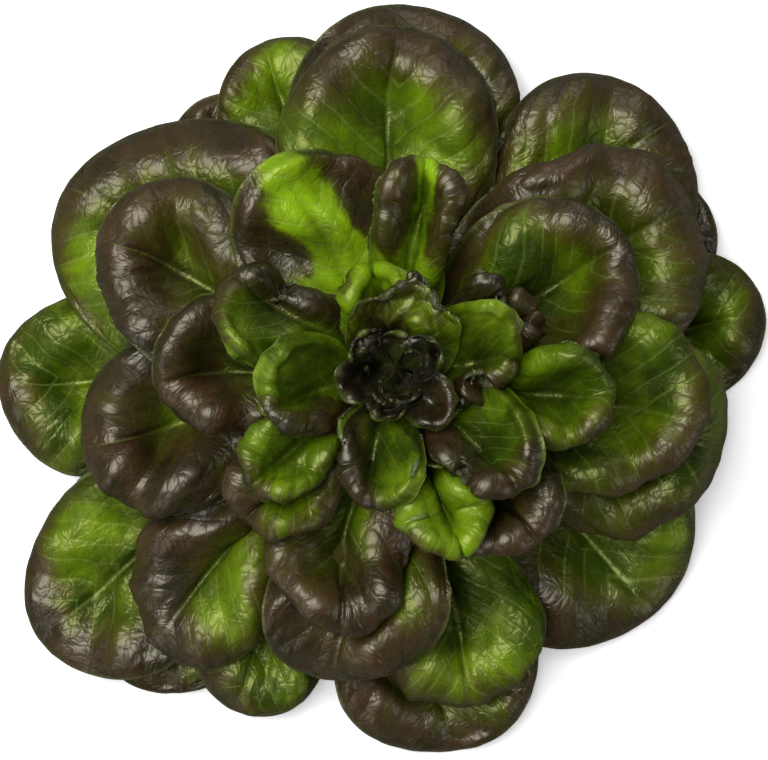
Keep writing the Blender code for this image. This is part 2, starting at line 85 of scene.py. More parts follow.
# %% Every leaf, in the order in which they lie on one another
# Azimuth of the tip, reach from the axis, half width, layer, and what is its own.
LEAVES = {
    "outer": (
        (127.0, 113.5, 26.0, 0.00), (27.0, 123.0, 26.0, 0.00), (230.0, 142.0, 23.0, 0.02),
        (112.0, 122.0, 25.0, 0.04), (244.0, 131.0, 24.0, 0.06), (7.5, 129.5, 27.0, 0.03),
        (182.0, 138.0, 32.0, 0.04, dict(lopsided=0.3)),
        (279.0, 137.0, 35.0, 0.06, dict(lopsided=-0.2)),
        (317.5, 124.5, 43.0, 0.06, dict(fold=8.0, curl=45.0)),
        (86.0, 127.5, 41.0, 0.10, dict(lopsided=0.3)),
        (216.5, 154.0, 35.0, 0.10, dict(lopsided=0.35)),
        (42.0, 131.0, 38.0, 0.12, dict(lopsided=-0.3)),
        (150.0, 127.5, 46.0, 0.15)),
    "middle": (
        (90.5, 116.0, 38.0, 0.20, dict(fold=11.0)),
        (283.0, 120.0, 27.0, 0.19, dict(fold=12.0)),
        (228.5, 125.0, 27.0, 0.20), (345.0, 117.0, 37.0, 0.24), (194.0, 110.0, 31.0, 0.27),
        (259.0, 110.5, 31.0, 0.29, dict(lopsided=0.2)),
        (30.5, 117.0, 38.0, 0.31, dict(lopsided=-0.25)),
        (156.5, 108.5, 31.0, 0.34, dict(fold=9.0))),
    "upper": (
        (349.0, 101.0, 30.5, 0.40, dict(lopsided=0.25)),
        (257.0, 89.0, 25.0, 0.42, dict(bowl=14.0, sweep=12.0, broad=-0.35)),
        (27.5, 87.5, 30.0, 0.46, dict(lopsided=0.3, broad=-0.3)),
        (183.0, 79.0, 25.0, 0.47, dict(bowl=17.0, broad=-0.4, lopsided=-0.4, band=20.0)),
        (225.0, 71.0, 16.0, 0.51),
        (119.0, 79.5, 32.0, 0.50, dict(fold=-24.0, bowl=1.0, band=10.0, curl=50.0, waves=4.4)),
        (310.0, 74.0, 22.0, 0.53, dict(bowl=18.0, broad=-0.3, lean=-0.2)),
        (350.0, 72.0, 16.0, 0.57, dict(waves=7.0, band=9.0)),
        (81.5, 69.5, 13.0, 0.58, dict(band=12.0, lopsided=0.5)),
        (289.0, 64.0, 14.0, 0.59, dict(waves=6.5, band=8.0, fold=12.0))),
    "inner": (
        (218.0, 61.0, 14.0, 0.60, dict(waves=6.5, band=8.0, fold=12.0)),
        (152.5, 61.5, 15.0, 0.60, dict(band=14.0, broad=0.6, lopsided=0.6, lean=-0.2, fold=8.0)),
        (21.0, 50.0, 8.0, 0.65, dict(fold=14.0, bowl=4.0)),
        (35.0, 45.0, 8.0, 0.70, dict(fold=14.0, bowl=4.0)),
        (316.0, 56.0, 18.0, 0.66, dict(band=14.0, broad=0.6, lopsided=0.6, lean=-0.2)),
        (197.5, 47.0, 17.0, 0.67, dict(broad=-0.6, lopsided=-0.6, band=11.0, waves=3.8, lean=0.2)),
        (256.0, 45.0, 14.0, 0.72, dict(broad=0.5, lopsided=0.6, band=10.0, lean=-0.2, waves=3.6)),
        (4.0, 40.5, 14.5, 0.76, dict(broad=0.7, lopsided=0.6, band=10.0, lean=-0.25)),
        (102.0, 35.5, 13.0, 0.72, dict(waves=6.0, bowl=8.0, band=7.0)),
        (78.0, 25.0, 14.0, 0.78, dict(foot=3.2, bowl=7.0, band=9.0, waves=3.2))),
    "heart": (
        (315.0, 25.0, 9.0, 0.82), (200.0, 21.0, 8.0, 0.82), (255.0, 18.0, 7.0, 0.85),
        (145.0, 17.0, 7.0, 0.85), (20.0, 16.0, 7.0, 0.87), (285.0, 12.5, 5.5, 0.91),
        (90.0, 12.0, 5.0, 0.91), (190.0, 10.0, 4.5, 0.95, dict(curl=25.0))),
}
SEED = 700
UNLIKE = 0.28
print("leaves:", {ring: len(lines) for ring, lines in LEAVES.items()})


# %% Helpers for the rule, and the height of a bowl
def by_ring(*values):
    """One value for each ring, from the outer leaves to the heart."""
    return dict(zip(RINGS, values))


def ease(start, end, value):
    """Goes smoothly from 0 at start to 1 at end."""
    t = np.clip((np.asarray(value, float) - start) / (end - start), 0.0, 1.0)
    return t * t * (3.0 - 2.0 * t)


def layer_height(layer, radius):
    """Height of one nested bowl at a distance from the axis, and its slope there."""
    root_h, root_r, climb, over, droop = (
        np.interp(layer, LAYER_AT, line) for line in (ROOT_HEIGHT, ROOT_RADIUS, CLIMB, CLIMB_OVER, DROOP))
    out = np.maximum(radius - root_r, -1.0)
    fade = np.exp(-out / over)
    height = root_h + climb * (1.0 - fade) - droop * (radius / DROOP_AT) ** 2
    slope = climb / over * fade - 2.0 * droop * radius / DROOP_AT ** 2
    return height, slope


print("the middle bowl at 60 mm:", round(float(layer_height(0.3, 60.0)[0]), 1), "mm high")


# %% [markdown]
# ## The outline of a leaf
#
# Unrolled and pressed flat, a butterhead leaf is nearly a circle on a short broad wedge. A
# point of it is given by how far it lies from the root to the rim, `u`, and from the left
# edge to the right one, `v`. What the rim hides by rolling under is added to the circle, so
# that the leaf, once rolled, still reaches as far as it should.

# %% Describe a leaf and place a point on its flat blade
# The root is at most this share of the stem's radius to each side, and the round at most this
# share of the way to a corner of the root.
FOOT_MOST, ROUND_MOST = 0.95, 0.97


def describe(number, ring, azimuth, reach, half, layer, own=None):
    """Collects what one leaf is made from, with the outline of its unrolled blade."""
    leaf = dict(RINGS[ring], sweep=0.0, lopsided=0.0, lean=0.0, broad=0.0)
    leaf.update(own or {})
    leaf.update(ring=ring, azimuth=azimuth, layer=layer, number=number)
    drawn = np.random.default_rng(SEED + number)
    leaf["phase"] = drawn.uniform(0.0, 2.0 * math.pi, 5)
    for name in ("bowl", "fold", "curl", "waves"):
        leaf[name] = leaf[name] * drawn.uniform(1.0 - UNLIKE, 1.0 + UNLIKE)
    root = float(np.interp(layer, LAYER_AT, ROOT_RADIUS))
    turn = math.radians(leaf["curl"])
    rolled = leaf["band"] / turn
    hidden = leaf["band"] - rolled * math.sin(min(turn, math.pi / 2.0))
    leaf["root"] = root
    leaf["round"] = half + hidden
    leaf["centre"] = reach + hidden - leaf["round"]
    leaf["length"] = reach + hidden - root
    # The two straight sides run from the corners of the root to where they touch the round.
    foot = min(leaf["foot"], root * FOOT_MOST)
    corner_y = math.sqrt(root ** 2 - foot ** 2)
    far = math.hypot(foot, leaf["centre"] - corner_y)
    to_corner = math.atan2(foot, corner_y - leaf["centre"])
    widest = to_corner - math.acos(min(leaf["round"], far * ROUND_MOST) / far)
    leaf["widest"] = widest
    leaf["foot_turn"] = math.asin(foot / root)
    leaf["corner"] = foot, corner_y
    leaf["touch"] = leaf["round"] * math.sin(widest), leaf["centre"] + leaf["round"] * math.cos(widest)
    return leaf


def blade(leaf, u, v):
    """Place on the flat blade, distance in from its margin, and the way out to the margin."""
    around = v * leaf["widest"]
    rim_x, rim_y = leaf["round"] * np.sin(around), leaf["centre"] + leaf["round"] * np.cos(around)
    at_root = v * leaf["foot_turn"]
    root_x, root_y = leaf["root"] * np.sin(at_root), leaf["root"] * np.cos(at_root)
    x, y = root_x + u * (rim_x - root_x), root_y + u * (rim_y - root_y)
    side = np.where(x < 0.0, -1.0, 1.0)
    touch_x, touch_y = leaf["touch"]
    run_x, run_y = touch_x - leaf["corner"][0], touch_y - leaf["corner"][1]
    run = math.hypot(run_x, run_y)
    run_x, run_y = run_x / run, run_y / run
    along = (np.abs(x) - touch_x) * run_x + (y - touch_y) * run_y
    off = (touch_x - np.abs(x)) * run_y - (touch_y - y) * run_x
    spoke = np.hypot(x, y - leaf["centre"]) + 1e-9
    straight = (along < 0.0) & (off < leaf["round"])
    margin = np.where(straight, off, leaf["round"] - spoke)
    out_x = np.where(straight, run_y * side, x / spoke)
    out_y = np.where(straight, -run_x, (y - leaf["centre"]) / spoke)
    return x, y, np.maximum(margin, 0.0), out_x, out_y, np.arctan2(x, y - leaf["centre"])


# %% [markdown]
# ## Rolling, bowing and waving the blade
#
# The rim is bent under along a circle, a little unevenly, as the real one is. Bowl, crease
# and waves are heights added on top. They fade out towards the root, where the leaves are
# stacked too closely for them.

# %% The middle surface of a leaf
BLADE_FROM, BLADE_FULL = 0.15, 0.6
ROLL_UNEVEN, ROLL_LEAST = 0.22, 0.02
# Where the rim of a leaf faces this much sideways, rolling under takes it at most this share of
# the way to the midrib, so that the two flanks of a narrow leaf don't cross.
SIDEWAYS, ROLLED_MOST = 0.85, 0.85
BOWL_LEVEL, BOWL_FULL = 0.35, 0.72
LEAN_ANY = 0.18
WARP, WARP_OFTEN = 0.05, 2.4
CREASE_LEVEL, CREASE_ROUND = 0.14, 0.02
RIM_WAVES = ((2.3, 1.0), (3.9, 0.7))
SWELL, SWELL_ACROSS, SWELL_ALONG = 0.5, 9.0, 12.0
STEEPEST = 4.0


def leaf_surface(leaf, u, v):
    """Middle surface of a leaf before it settles, and how much a lift grows with the slope."""
    x, y, margin, out_x, out_y, around = blade(leaf, u, v)
    along = (y - leaf["root"]) / leaf["length"]
    blade_part = ease(BLADE_FROM, BLADE_FULL, along)
    near_rim = np.clip(1.0 - margin / leaf["round"], 0.0, 1.0)

    first, second, third, fourth, fifth = leaf["phase"]
    uneven = 1.0 + leaf["lopsided"] * np.sin(around) + ROLL_UNEVEN * np.sin(2.0 * around + fifth)
    turn = math.radians(leaf["curl"]) * blade_part * uneven
    turn = np.where(np.abs(turn) < ROLL_LEAST, ROLL_LEAST, turn)
    band = leaf["band"] * (1.0 + leaf["broad"] * np.sin(around))
    rolled = band / turn
    share = np.clip(1.0 - margin / band, 0.0, 1.0)
    drawn_in = band * share - rolled * np.sin(turn * share)
    sideways = np.abs(out_x) > SIDEWAYS
    drawn_in = np.where(sideways, np.minimum(drawn_in, ROLLED_MOST * np.abs(x)), drawn_in)
    height = -rolled * (1.0 - np.cos(turn * share))
    x = x - out_x * drawn_in
    y = y - out_y * drawn_in
    bent = WARP * leaf["round"] * blade_part
    x, y = (x + bent * np.sin(y / leaf["round"] * WARP_OFTEN + fourth),
            y + bent * np.sin(x / leaf["round"] * WARP_OFTEN + first))

    crease = np.sqrt((x / leaf["round"]) ** 2 + CREASE_ROUND) - CREASE_LEVEL
    rim_wave = sum(high * np.sin(often * around + start)
                   for (often, high), start in zip(RIM_WAVES, (first, second)))
    swell = SWELL * np.sin(x / SWELL_ACROSS + third) * np.sin(y / SWELL_ALONG + fourth)
    shaped = leaf["bowl"] * (ease(0.0, BOWL_FULL, near_rim) - BOWL_LEVEL) + leaf["fold"] * crease
    shaped = shaped + x * (leaf["lean"] + LEAN_ANY * math.sin(third))
    shaped = shaped + leaf["waves"] * (near_rim ** 2 * rim_wave + swell)

    swept = leaf["sweep"] * (1.0 - np.clip(along, 0.0, 1.0)) ** 2 * np.sqrt(blade_part)
    heading = np.radians(leaf["azimuth"] - swept)
    layer, slope = layer_height(leaf["layer"], np.hypot(x, y))
    plan_x = y * np.cos(heading) + x * np.sin(heading)
    plan_y = y * np.sin(heading) - x * np.cos(heading)
    steep = np.minimum(np.sqrt(1.0 + slope ** 2), STEEPEST)
    return np.stack([plan_x, plan_y, layer + height + shaped * blade_part], -1), steep


# %% [markdown]
# ## Letting the leaves settle on one another
#
# A physics simulation could drop the leaves into place, but it would be slow and would not
# give the same head twice. A map of the highest surface so far does it too: leaf after leaf
# is lifted softly wherever it comes too close to what already lies there. The grid here has
# twice the model's rows and columns, so that the finer shape clears its neighbours as well.

# %% Grids, the height map and the settling
ROWS_CLOSER, COLS_CLOSER = 1.5, 1.25
GROUND_CLEARANCE = 0.8
CELL, RASTER_HALF = 0.7, 260
TRIED = 13
SETTLE_ROUNDS, EACH_ROUND, LEFT_SHORT, LIFT_SOFTENED = 30, 0.7, 0.03, 4
GRID_FINER = 2
# The model's coarse leaves need more room in the steep middle than the fine ones would. The fine
# ones get it all the same, so that the head is about as high as the model.
COARSE_NEEDS = by_ring(1.0, 1.0, 1.3, 3.3, 1.3)


def leaf_grid(rows, cols):
    """Grid of (u, v) closer together near the rim."""
    u = 1.0 - (1.0 - np.linspace(0.0, 1.0, rows + 1)) ** ROWS_CLOSER
    v = np.sin(np.linspace(-1.0, 1.0, cols + 1) * COLS_CLOSER) / math.sin(COLS_CLOSER)
    return np.meshgrid(u, v, indexing="ij")


def between(places, count):
    """Places close together on the two triangles of every cell of a leaf's grid."""
    a, b, c, d = places[:-1, :-1], places[:-1, 1:], places[1:, 1:], places[1:, :-1]
    steps = np.linspace(0.0, 1.0, count)
    p, q = (side[..., None, None, None] for side in np.meshgrid(steps, steps, indexing="ij"))
    return np.where(q <= p, a + p * (d - a) + q * (c - d), a + q * (b - a) + p * (c - b))


def raster_cell(places):
    """Row and column of the height map under each place."""
    cell = np.clip((places[..., :2] / CELL + RASTER_HALF).astype(int), 0, 2 * RASTER_HALF - 1)
    return cell[..., 0], cell[..., 1]


def soften(field):
    """Each value drawn towards its neighbours."""
    wide = np.pad(field, 1, mode="edge")
    around = wide[:-2, 1:-1] + wide[2:, 1:-1] + wide[1:-1, :-2] + wide[1:-1, 2:]
    return (wide[1:-1, 1:-1] * 2.0 + around) / 6.0


def settle(leaves):
    """Lays the leaves on one another, lifting each softly clear of what is already there."""
    ground = GROUND_CLEARANCE - RINGS["outer"]["clear"]
    top = np.full((2 * RASTER_HALF, 2 * RASTER_HALF), ground)
    for leaf in leaves:
        rows, cols = leaf["rows"] * GRID_FINER, leaf["cols"] * GRID_FINER
        rest, steep = leaf_surface(leaf, *leaf_grid(rows, cols))
        corners = [steep[:-1, :-1], steep[:-1, 1:], steep[1:, :-1], steep[1:, 1:]]
        cell_steep = np.maximum.reduce(corners)
        lift = np.zeros(steep.shape)
        clear = leaf["clear"] * COARSE_NEEDS[leaf["ring"]]
        for _ in range(SETTLE_ROUNDS):
            places = rest.copy()
            places[..., 2] += lift * steep
            close = between(places, TRIED)
            short = top[raster_cell(close)] + clear * cell_steep - close[..., 2]
            short = np.maximum(short, 0.0).max((0, 1)) / cell_steep
            if short.max() < LEFT_SHORT:
                break
            need = np.zeros(steep.shape)
            for i in (0, 1):
                for j in (0, 1):
                    corner = need[i:i + rows, j:j + cols]
                    np.maximum(corner, short, out=corner)
            lift = lift + need * EACH_ROUND
            soft = lift
            for _ in range(LIFT_SOFTENED):
                soft = np.maximum(lift, soften(soft))
            lift = soft
        leaf["places"] = rest
        leaf["places"][..., 2] += lift * steep
        if leaf["ring"] != "heart":
            close = between(leaf["places"], TRIED)
            np.maximum.at(top, raster_cell(close), close[..., 2])


listed = [(ring, *line) for ring, lines in LEAVES.items() for line in lines]
leaves = [describe(number, *line) for number, line in enumerate(listed)]
settle(leaves)
print("highest leaf:", round(max(leaf["places"][..., 2].max() for leaf in leaves), 1), "mm")

# %% [markdown]
# ## Roots on the stem
#
# A leaf that had to be lifted starts higher up, where the stem is thinner, so its root is
# drawn in after it. The small leaves of the heart all grow out of one core.

# %% Draw the roots in
STEM_PROFILE = (
    (13.2, 0.0), (14.0, 1.0), (13.9, 4.0), (13.3, 9.0), (11.9, 18.0),
    (10.2, 26.5), (9.0, 31.5), (7.9, 38.0), (6.7, 46.0))
CORE_PROFILE = ((6.2, 46.4), (6.2, 56.0), (5.9, 65.0), (4.6, 71.0), (1.8, 74.5))
ROOT_OFF, ROOT_NEAREST, DRAWN_MOST = 0.95, 8.2, 3.0
ROOT_FOLLOW = (1.0, 0.7, 0.4, 0.2, 0.1)
SUNK_ROOT, SUNK_LOWEST, SUNK_HIGHEST, HEART_LOWEST = 1.8, 49.0, 68.0, 47.4


def draw_in_root(leaf):
    """Moves the root of a leaf in to the stem, or sinks it in the core in the heart."""
    radii, heights = zip(*STEM_PROFILE, *CORE_PROFILE)
    places = leaf["places"]
    far = np.hypot(places[0, :, 0], places[0, :, 1])
    wanted = np.maximum(np.interp(places[0, :, 2], heights, radii) + ROOT_OFF, ROOT_NEAREST)
    if leaf["ring"] == "heart":
        places[..., 2] = np.maximum(places[..., 2], HEART_LOWEST)
        places[0, :, :2] *= (SUNK_ROOT / far)[:, None]
        places[0, :, 2] = np.clip(places[0, :, 2], SUNK_LOWEST, SUNK_HIGHEST)
        return
    for row, share in enumerate(ROOT_FOLLOW):
        spokes = np.hypot(places[row, :, 0], places[row, :, 1])
        drawn = share * np.clip(wanted - far, -DRAWN_MOST, 0.0)
        places[row, :, :2] *= ((spokes + drawn) / spokes)[:, None]


for leaf in leaves:
    draw_in_root(leaf)
print("lowest root:", round(min(leaf["places"][0, :, 2].min() for leaf in leaves), 1), "mm")

# %% [markdown]
# ## From a coarse net to a fine skin
#
# A subdivision modifier would round the leaf off, because its surface doesn't pass through
# the net's own points. A spline through the points does, so the leaf stays where it settled.

# %% Refine a net with a spline through its points
ROWS_INTO = 4
COLS_INTO = by_ring(6, 6, 6, 5, 4)


def refine(net, axis, pieces):
    """Cuts every span of a net along one axis into pieces on a smooth curve through its points."""
    net = np.moveaxis(net, axis, 0)
    ends = np.concatenate([[2.0 * net[0] - net[1]], net, [2.0 * net[-1] - net[-2]]])
    before, start, end, after = ends[:-3], ends[1:-2], ends[2:-1], ends[3:]
    lines = []
    for t in np.arange(pieces) / pieces:
        lines.append(0.5 * (2.0 * start + (end - before) * t
                            + (2.0 * before - 5.0 * start + 4.0 * end - after) * t ** 2
                            + (3.0 * start - before - 3.0 * end + after) * t ** 3))
    fine = np.stack(lines, 1).reshape(-1, *net.shape[1:])
    return np.moveaxis(np.concatenate([fine, net[-1:]]), 0, axis)


def fine_net(leaf):
    """Fine middle surface of a settled leaf, with u and v of each of its points."""
    rows, cols = leaf["rows"] * GRID_FINER, leaf["cols"] * GRID_FINER
    net = np.concatenate([leaf["places"], np.stack(leaf_grid(rows, cols), -1)], -1)
    net = refine(refine(net, 0, ROWS_INTO), 1, COLS_INTO[leaf["ring"]])
    return net[..., :3], np.clip(net[..., 3], 0.0, 1.0), np.clip(net[..., 4], -1.0, 1.0)


def normals_of(places):
    """Unit normals of a net, pointing out of its upper side."""
    down, across = np.gradient(places, axis=0), np.gradient(places, axis=1)
    out = np.cross(across, down)
    return out / (np.linalg.norm(out, axis=-1, keepdims=True) + 1e-12)


print("fine points of one outer leaf:", fine_net(leaves[0])[0][..., 0].size)

# %% [markdown]
# ## Room for folds
#
# A leaf can only puff up where nothing lies on it. Going through the pile from the top down,
# a map of the lowest surface so far tells how much room there is over every leaf.

# %% How free a leaf is to puff up
# Heights in millimetres: a ceiling over the whole head, and the room at which a leaf starts to
# puff up and is fully free.
OPEN_ABOVE = 500.0
ROOM_LEAST, ROOM_FULL = 1.4, 5.0
ROOM_GROWN, FREE_SOFTENED = 5, 4


def lowest_nearby(lowest):
    """Each value of a map carried to the places around it wherever it is the lower one."""
    wide = np.pad(lowest, 1, mode="edge")
    around = [wide[:-2, 1:-1], wide[2:, 1:-1], wide[1:-1, :-2], wide[1:-1, 2:]]
    return np.minimum.reduce([lowest, *around])


def find_room(leaves):
    """Finds for every point of every leaf how free it is, from 0 under a leaf to 1 in the open."""
    lowest = np.full((2 * RASTER_HALF, 2 * RASTER_HALF), OPEN_ABOVE)
    for leaf in reversed(leaves):
        near = lowest
        for _ in range(ROOM_GROWN):
            near = lowest_nearby(near)
        middle = fine_net(leaf)[0]
        free = ease(ROOM_LEAST, ROOM_FULL, near[raster_cell(middle)] - middle[..., 2])
        for _ in range(FREE_SOFTENED):
            free = soften(free)
        leaf["free"] = free
        close = between(leaf["places"], TRIED)
        np.minimum.at(lowest, raster_cell(close), close[..., 2])


find_room(leaves)
lying_open = np.mean([leaf["free"].mean() for leaf in leaves])
print("share of the leaves that lies open:", round(float(lying_open), 2))

# %% [markdown]
# ## Ribs, side veins and the quilted skin
#
# A butterhead's skin puffs up between its veins. Side veins leave the midrib at a slant and
# curve towards the tip, and smaller ones tie them together like the rungs of a ladder. Each
# is a line where a phase that grows evenly along the leaf passes a whole number, so the same
# phases give the relief here and draw the veins in the material later.

# %% Phases of the veins
VEIN_EVERY = 0.26          # of the round's radius, measured along the midrib
VEIN_SLANT, VEIN_BEND = 0.75, 0.35
ALTERNATE, ALTERNATE_FROM = 0.5, 0.08
WOBBLE, WOBBLE_LENGTH = 0.16, 0.16
RUNG_EVERY, RUNG_SHIFT, RUNG_WOBBLE = 0.17, 0.5, 1.6
RUNGS_UNLIKE = 12.9898
PUFF_ROUND = 2.5


def wavy(x, y, phase, size):
    """Smooth irregular values about 0, from three waves of unlike lengths that bend one another."""
    first, second, third = phase[0], phase[1], phase[2]
    return (np.sin(x / size + first + 1.7 * np.sin(y / size * 0.8 + second))
            + np.sin(y / size * 1.1 + third + 1.3 * np.sin(x / size * 1.3 + first))
            + 0.7 * np.sin((x + y) / size * 1.9 + second)) / 2.7


def patchy(x, y, phase, size, level, amount):
    """A level that differs smoothly from place to place."""
    return level + amount * wavy(x, y, phase, size)


def vein_phases(leaf, x, y):
    """How many side veins and how many rungs lie between a place and the root."""
    size = leaf["round"]
    off = np.abs(x) / size
    alternate = np.where(x > 0.0, ALTERNATE, 0.0) * ease(0.0, ALTERNATE_FROM, off)
    wobble = WOBBLE * wavy(x, y, leaf["phase"], size * WOBBLE_LENGTH)
    slanted = VEIN_SLANT * off + VEIN_BEND * off ** 2
    side_vein = (y - leaf["root"]) / (size * VEIN_EVERY) - slanted / VEIN_EVERY
    side_vein = side_vein + alternate + wobble
    shift = RUNG_SHIFT * np.sin(np.floor(side_vein) * RUNGS_UNLIKE + leaf["phase"][3])
    rung = off / RUNG_EVERY + shift + RUNG_WOBBLE * wobble
    return side_vein, rung


def puffed(phase):
    """1 between two lines of a phase and 0 on each line."""
    nearest = np.abs(phase - np.round(phase)) * 2.0
    return 1.0 - (1.0 - nearest) ** PUFF_ROUND


def near_midrib(x, along, tip_width, wider, fades_from):
    """1 on the midrib and 0 beside it; the line narrows and fades out towards the tip."""
    return np.exp(-(x / (tip_width + wider * (1.0 - along))) ** 2) * ease(1.0, fades_from, along)


# %% [markdown]
# ## The relief
#
# Four heights add up: puffs between the veins, broad folds where nothing lies on the leaf, a
# crest just inside the rolled rim and a fine crumple. The midrib is sunk into them, they fade
# out at the root and at the very edge, and the edge itself is ruffled.

# %% Relief of the upper side
# Heights in millimetres for each ring of leaves.
PUFF = by_ring(1.0, 1.0, 0.8, 0.6, 0.5)
FOLDS = by_ring(3.4, 3.4, 3.0, 2.2, 1.0)
CREST = by_ring(1.6, 2.4, 3.2, 4.0, 1.0)
RUFFLE = by_ring(0.10, 0.18, 0.45, 0.9, 0.6)
# What is left of the puffs under another leaf, and their level and how much they vary.
COVERED = 0.25
RUNGLESS, RUNG_PART, PUFF_LEVEL = 0.4, 0.6, 0.3
PUFF_LENGTH, PUFF_VARIES = 0.3, (0.7, 0.4)
# Folds follow the side veins, on small leaves as if they were this broad.
LEAST_BROAD = 34.0
FOLD_LEVEL, FOLD_EVEN, FOLD_UNEVEN = 0.5, 0.35, 0.4
FOLD_TURNS, FOLD_LENGTH = 2.0, 0.24
CREST_AT, CREST_LENGTH, CREST_VARIES = 1.3, 0.3, (0.8, 0.5)
RIB_SUNK, RIB_FLAT = 1.2, 0.8
# How wide the midrib is at the tip, how much wider at the root, and where it begins to fade.
RIB_LINE = (1.3, 1.7, 0.7)
CRUMPLE, CRUMPLE_LENGTH = 0.08, 3.0
RELIEF_ALONG, RELIEF_IN = (0.12, 0.45), (0.0, 6.0)
RUFFLE_LENGTH, RUFFLE_BEND, RUFFLE_BEND_LENGTH = 11.0, 2.4, 7.0
RUFFLE_IN, RUFFLE_ALONG = (12.0, 0.0), (0.3, 0.6)


def relief(leaf, x, y, margin, around):
    """How far the skin stands out of the middle surface, in millimetres."""
    size, phase, ring = leaf["round"], leaf["phase"], leaf["ring"]
    broad = max(size, LEAST_BROAD)
    along = (y - leaf["root"]) / leaf["length"]
    free = COVERED + (1.0 - COVERED) * leaf["free"]
    side_vein, rung = vein_phases(leaf, x, y)

    quilt = puffed(side_vein) * (RUNGLESS + RUNG_PART * puffed(rung)) - PUFF_LEVEL
    height = PUFF[ring] * quilt * patchy(x, y, phase[2:], size * PUFF_LENGTH, *PUFF_VARIES) * free
    folded = FOLD_LEVEL + FOLD_EVEN * np.sin(side_vein * size / broad * FOLD_TURNS + phase[4])
    folded = folded + FOLD_UNEVEN * wavy(x, y, phase[1:], broad * FOLD_LENGTH)
    height = height + FOLDS[ring] * folded * leaf["free"]
    band = leaf["band"] * CREST_AT * (1.0 + leaf["broad"] * np.sin(around))
    crest = np.sin(math.pi * np.clip(margin / band, 0.0, 1.0)) ** 2
    crest = CREST[ring] * crest * patchy(x, y, phase[2:], broad * CREST_LENGTH, *CREST_VARIES)
    height = height + crest * leaf["free"]

    rib = near_midrib(x, along, *RIB_LINE)
    height = height * (1.0 - RIB_FLAT * rib) - RIB_SUNK * rib * free
    height = height + CRUMPLE * wavy(x, y, phase, CRUMPLE_LENGTH) * free
    height = height * ease(*RELIEF_ALONG, along) * ease(*RELIEF_IN, margin)
    bend = RUFFLE_BEND * wavy(x, y, phase[1:], RUFFLE_BEND_LENGTH)
    ruffle = np.sin(around * size / RUFFLE_LENGTH * 2.0 * math.pi + bend)
    return height + RUFFLE[ring] * ruffle * free * ease(*RUFFLE_IN, margin) * ease(*RUFFLE_ALONG, along)


print("quilt of the largest leaf:", PUFF["outer"], "mm high")

# %% [markdown]
# ## Where the leaf is brown, green or lime
#
# Butterheads of this kind turn reddish brown where the sun reaches them, which is the rim and
# the outer part of a leaf, and stay green where they are covered. How far the brown comes in
# differs from leaf to leaf. It is kept as a number on every vertex, which the material reads
# and breaks up along the veins.

# %% The colour of each leaf
# Each leaf of a ring in turn: from what share of the way out it is brown, how lime it is, how
# much more brown towards its clockwise side, and how far its two flanks are brown.
OWN_COLOUR = {
    "outer": (
        (0.50, 0.03), (0.40,), (0.70,), (0.80,), (0.70, 0.02), (0.74,), (0.80,), (0.60, 0.0, 0.12),
        (0.66, 0.06, 0.30), (0.50,), (0.58, 0.02, -0.20), (0.58, 0.06, -0.14), (0.62, 0.0, 0.20)),
    "middle": (
        (0.60, 0.12, 0.12), (0.74, 0.05), (0.36, 0.0, 0.26), (0.72, 0.0, 0.22),
        (0.30, 0.05, -0.12), (0.42, 0.0, 0.15), (0.46,), (0.40, 0.0, -0.10)),
    "upper": (
        (0.60, 0.02, 0.10), (0.36, 0.02), (0.46, 0.03), (0.36, 0.02, -0.12), (0.50, 0.02),
        (1.20, 0.85, None, 0.95), (0.40, 0.02), (0.74, 0.12), (1.00, 0.75, None, 0.80), (0.72, 0.26)),
    "inner": (
        (0.66, 0.34), (0.40, 0.05, 0.40), (0.25, 0.05), (0.25, 0.05), (0.46, 0.05, 0.40),
        (0.62, 0.28, -0.40), (0.48, 0.05, 0.35), (0.52, 0.10, 0.40), (0.85, 0.75), (0.34, 0.10)),
    "heart": ((0.10,),) * 8,
}
TOWARD_ANY = 0.12
# How the way out is measured, and how far before and after its own place a leaf turns brown.
OUT_BY_RIM, OUT_ALONG, OUT_BY_BAND, BAND_REACH = 0.24, 0.40, 0.26, 1.2
OUT_UNEVEN, OUT_LENGTH = 0.17, 0.40
BROWN_BEFORE, BROWN_AFTER = 0.30, 0.34
FLANK_OFF, FLANK_ALONG, FLANK_LENGTH, FLANK_UNEVEN = (0.14, 0.42), (0.34, 0.54), 0.2, 0.10
MOTTLE_LENGTH, MOTTLED = 0.22, (0.75, 0.35)
# Where the painted shade of a leaf's hollow lies: how far in from the rim, and how far out along the leaf.
HOLLOW_IN, HOLLOW_ALONG = (0.05, 0.55), (0.15, 0.45)


def colour_fields(leaf, x, y, margin, around):
    """Shares of brown and lime at every place, and how deep in the hollow of the leaf it is, where the
    material paints shade.
    """
    size, phase = leaf["round"], leaf["phase"]
    toward = leaf["toward"]
    if toward is None:
        toward = TOWARD_ANY * math.sin(phase[4])
    along = (y - leaf["root"]) / leaf["length"]
    near_rim = np.clip(1.0 - margin / size, 0.0, 1.0)
    near_band = np.clip(BAND_REACH - margin / leaf["band"], 0.0, 1.0)
    out = OUT_BY_RIM * near_rim + OUT_ALONG * along + OUT_BY_BAND * near_band
    out = out + OUT_UNEVEN * wavy(x, y, phase[1:], size * OUT_LENGTH)
    out = out + toward * np.sin(around)
    brown = ease(leaf["brown"] - BROWN_BEFORE, leaf["brown"] + BROWN_AFTER, out)
    off_ridge = patchy(x, y, phase, size * FLANK_LENGTH, np.abs(x) / size, FLANK_UNEVEN)
    flank = leaf["flanks"] * ease(*FLANK_OFF, off_ridge) * ease(*FLANK_ALONG, along)
    mottled = patchy(x, y, phase[2:], size * MOTTLE_LENGTH, *MOTTLED)
    lime = leaf["lime"] * np.clip(mottled, 0.0, 1.0)
    hollow = (1.0 - ease(*HOLLOW_IN, near_rim)) * ease(*HOLLOW_ALONG, along)
    return np.maximum(brown, flank), lime, hollow


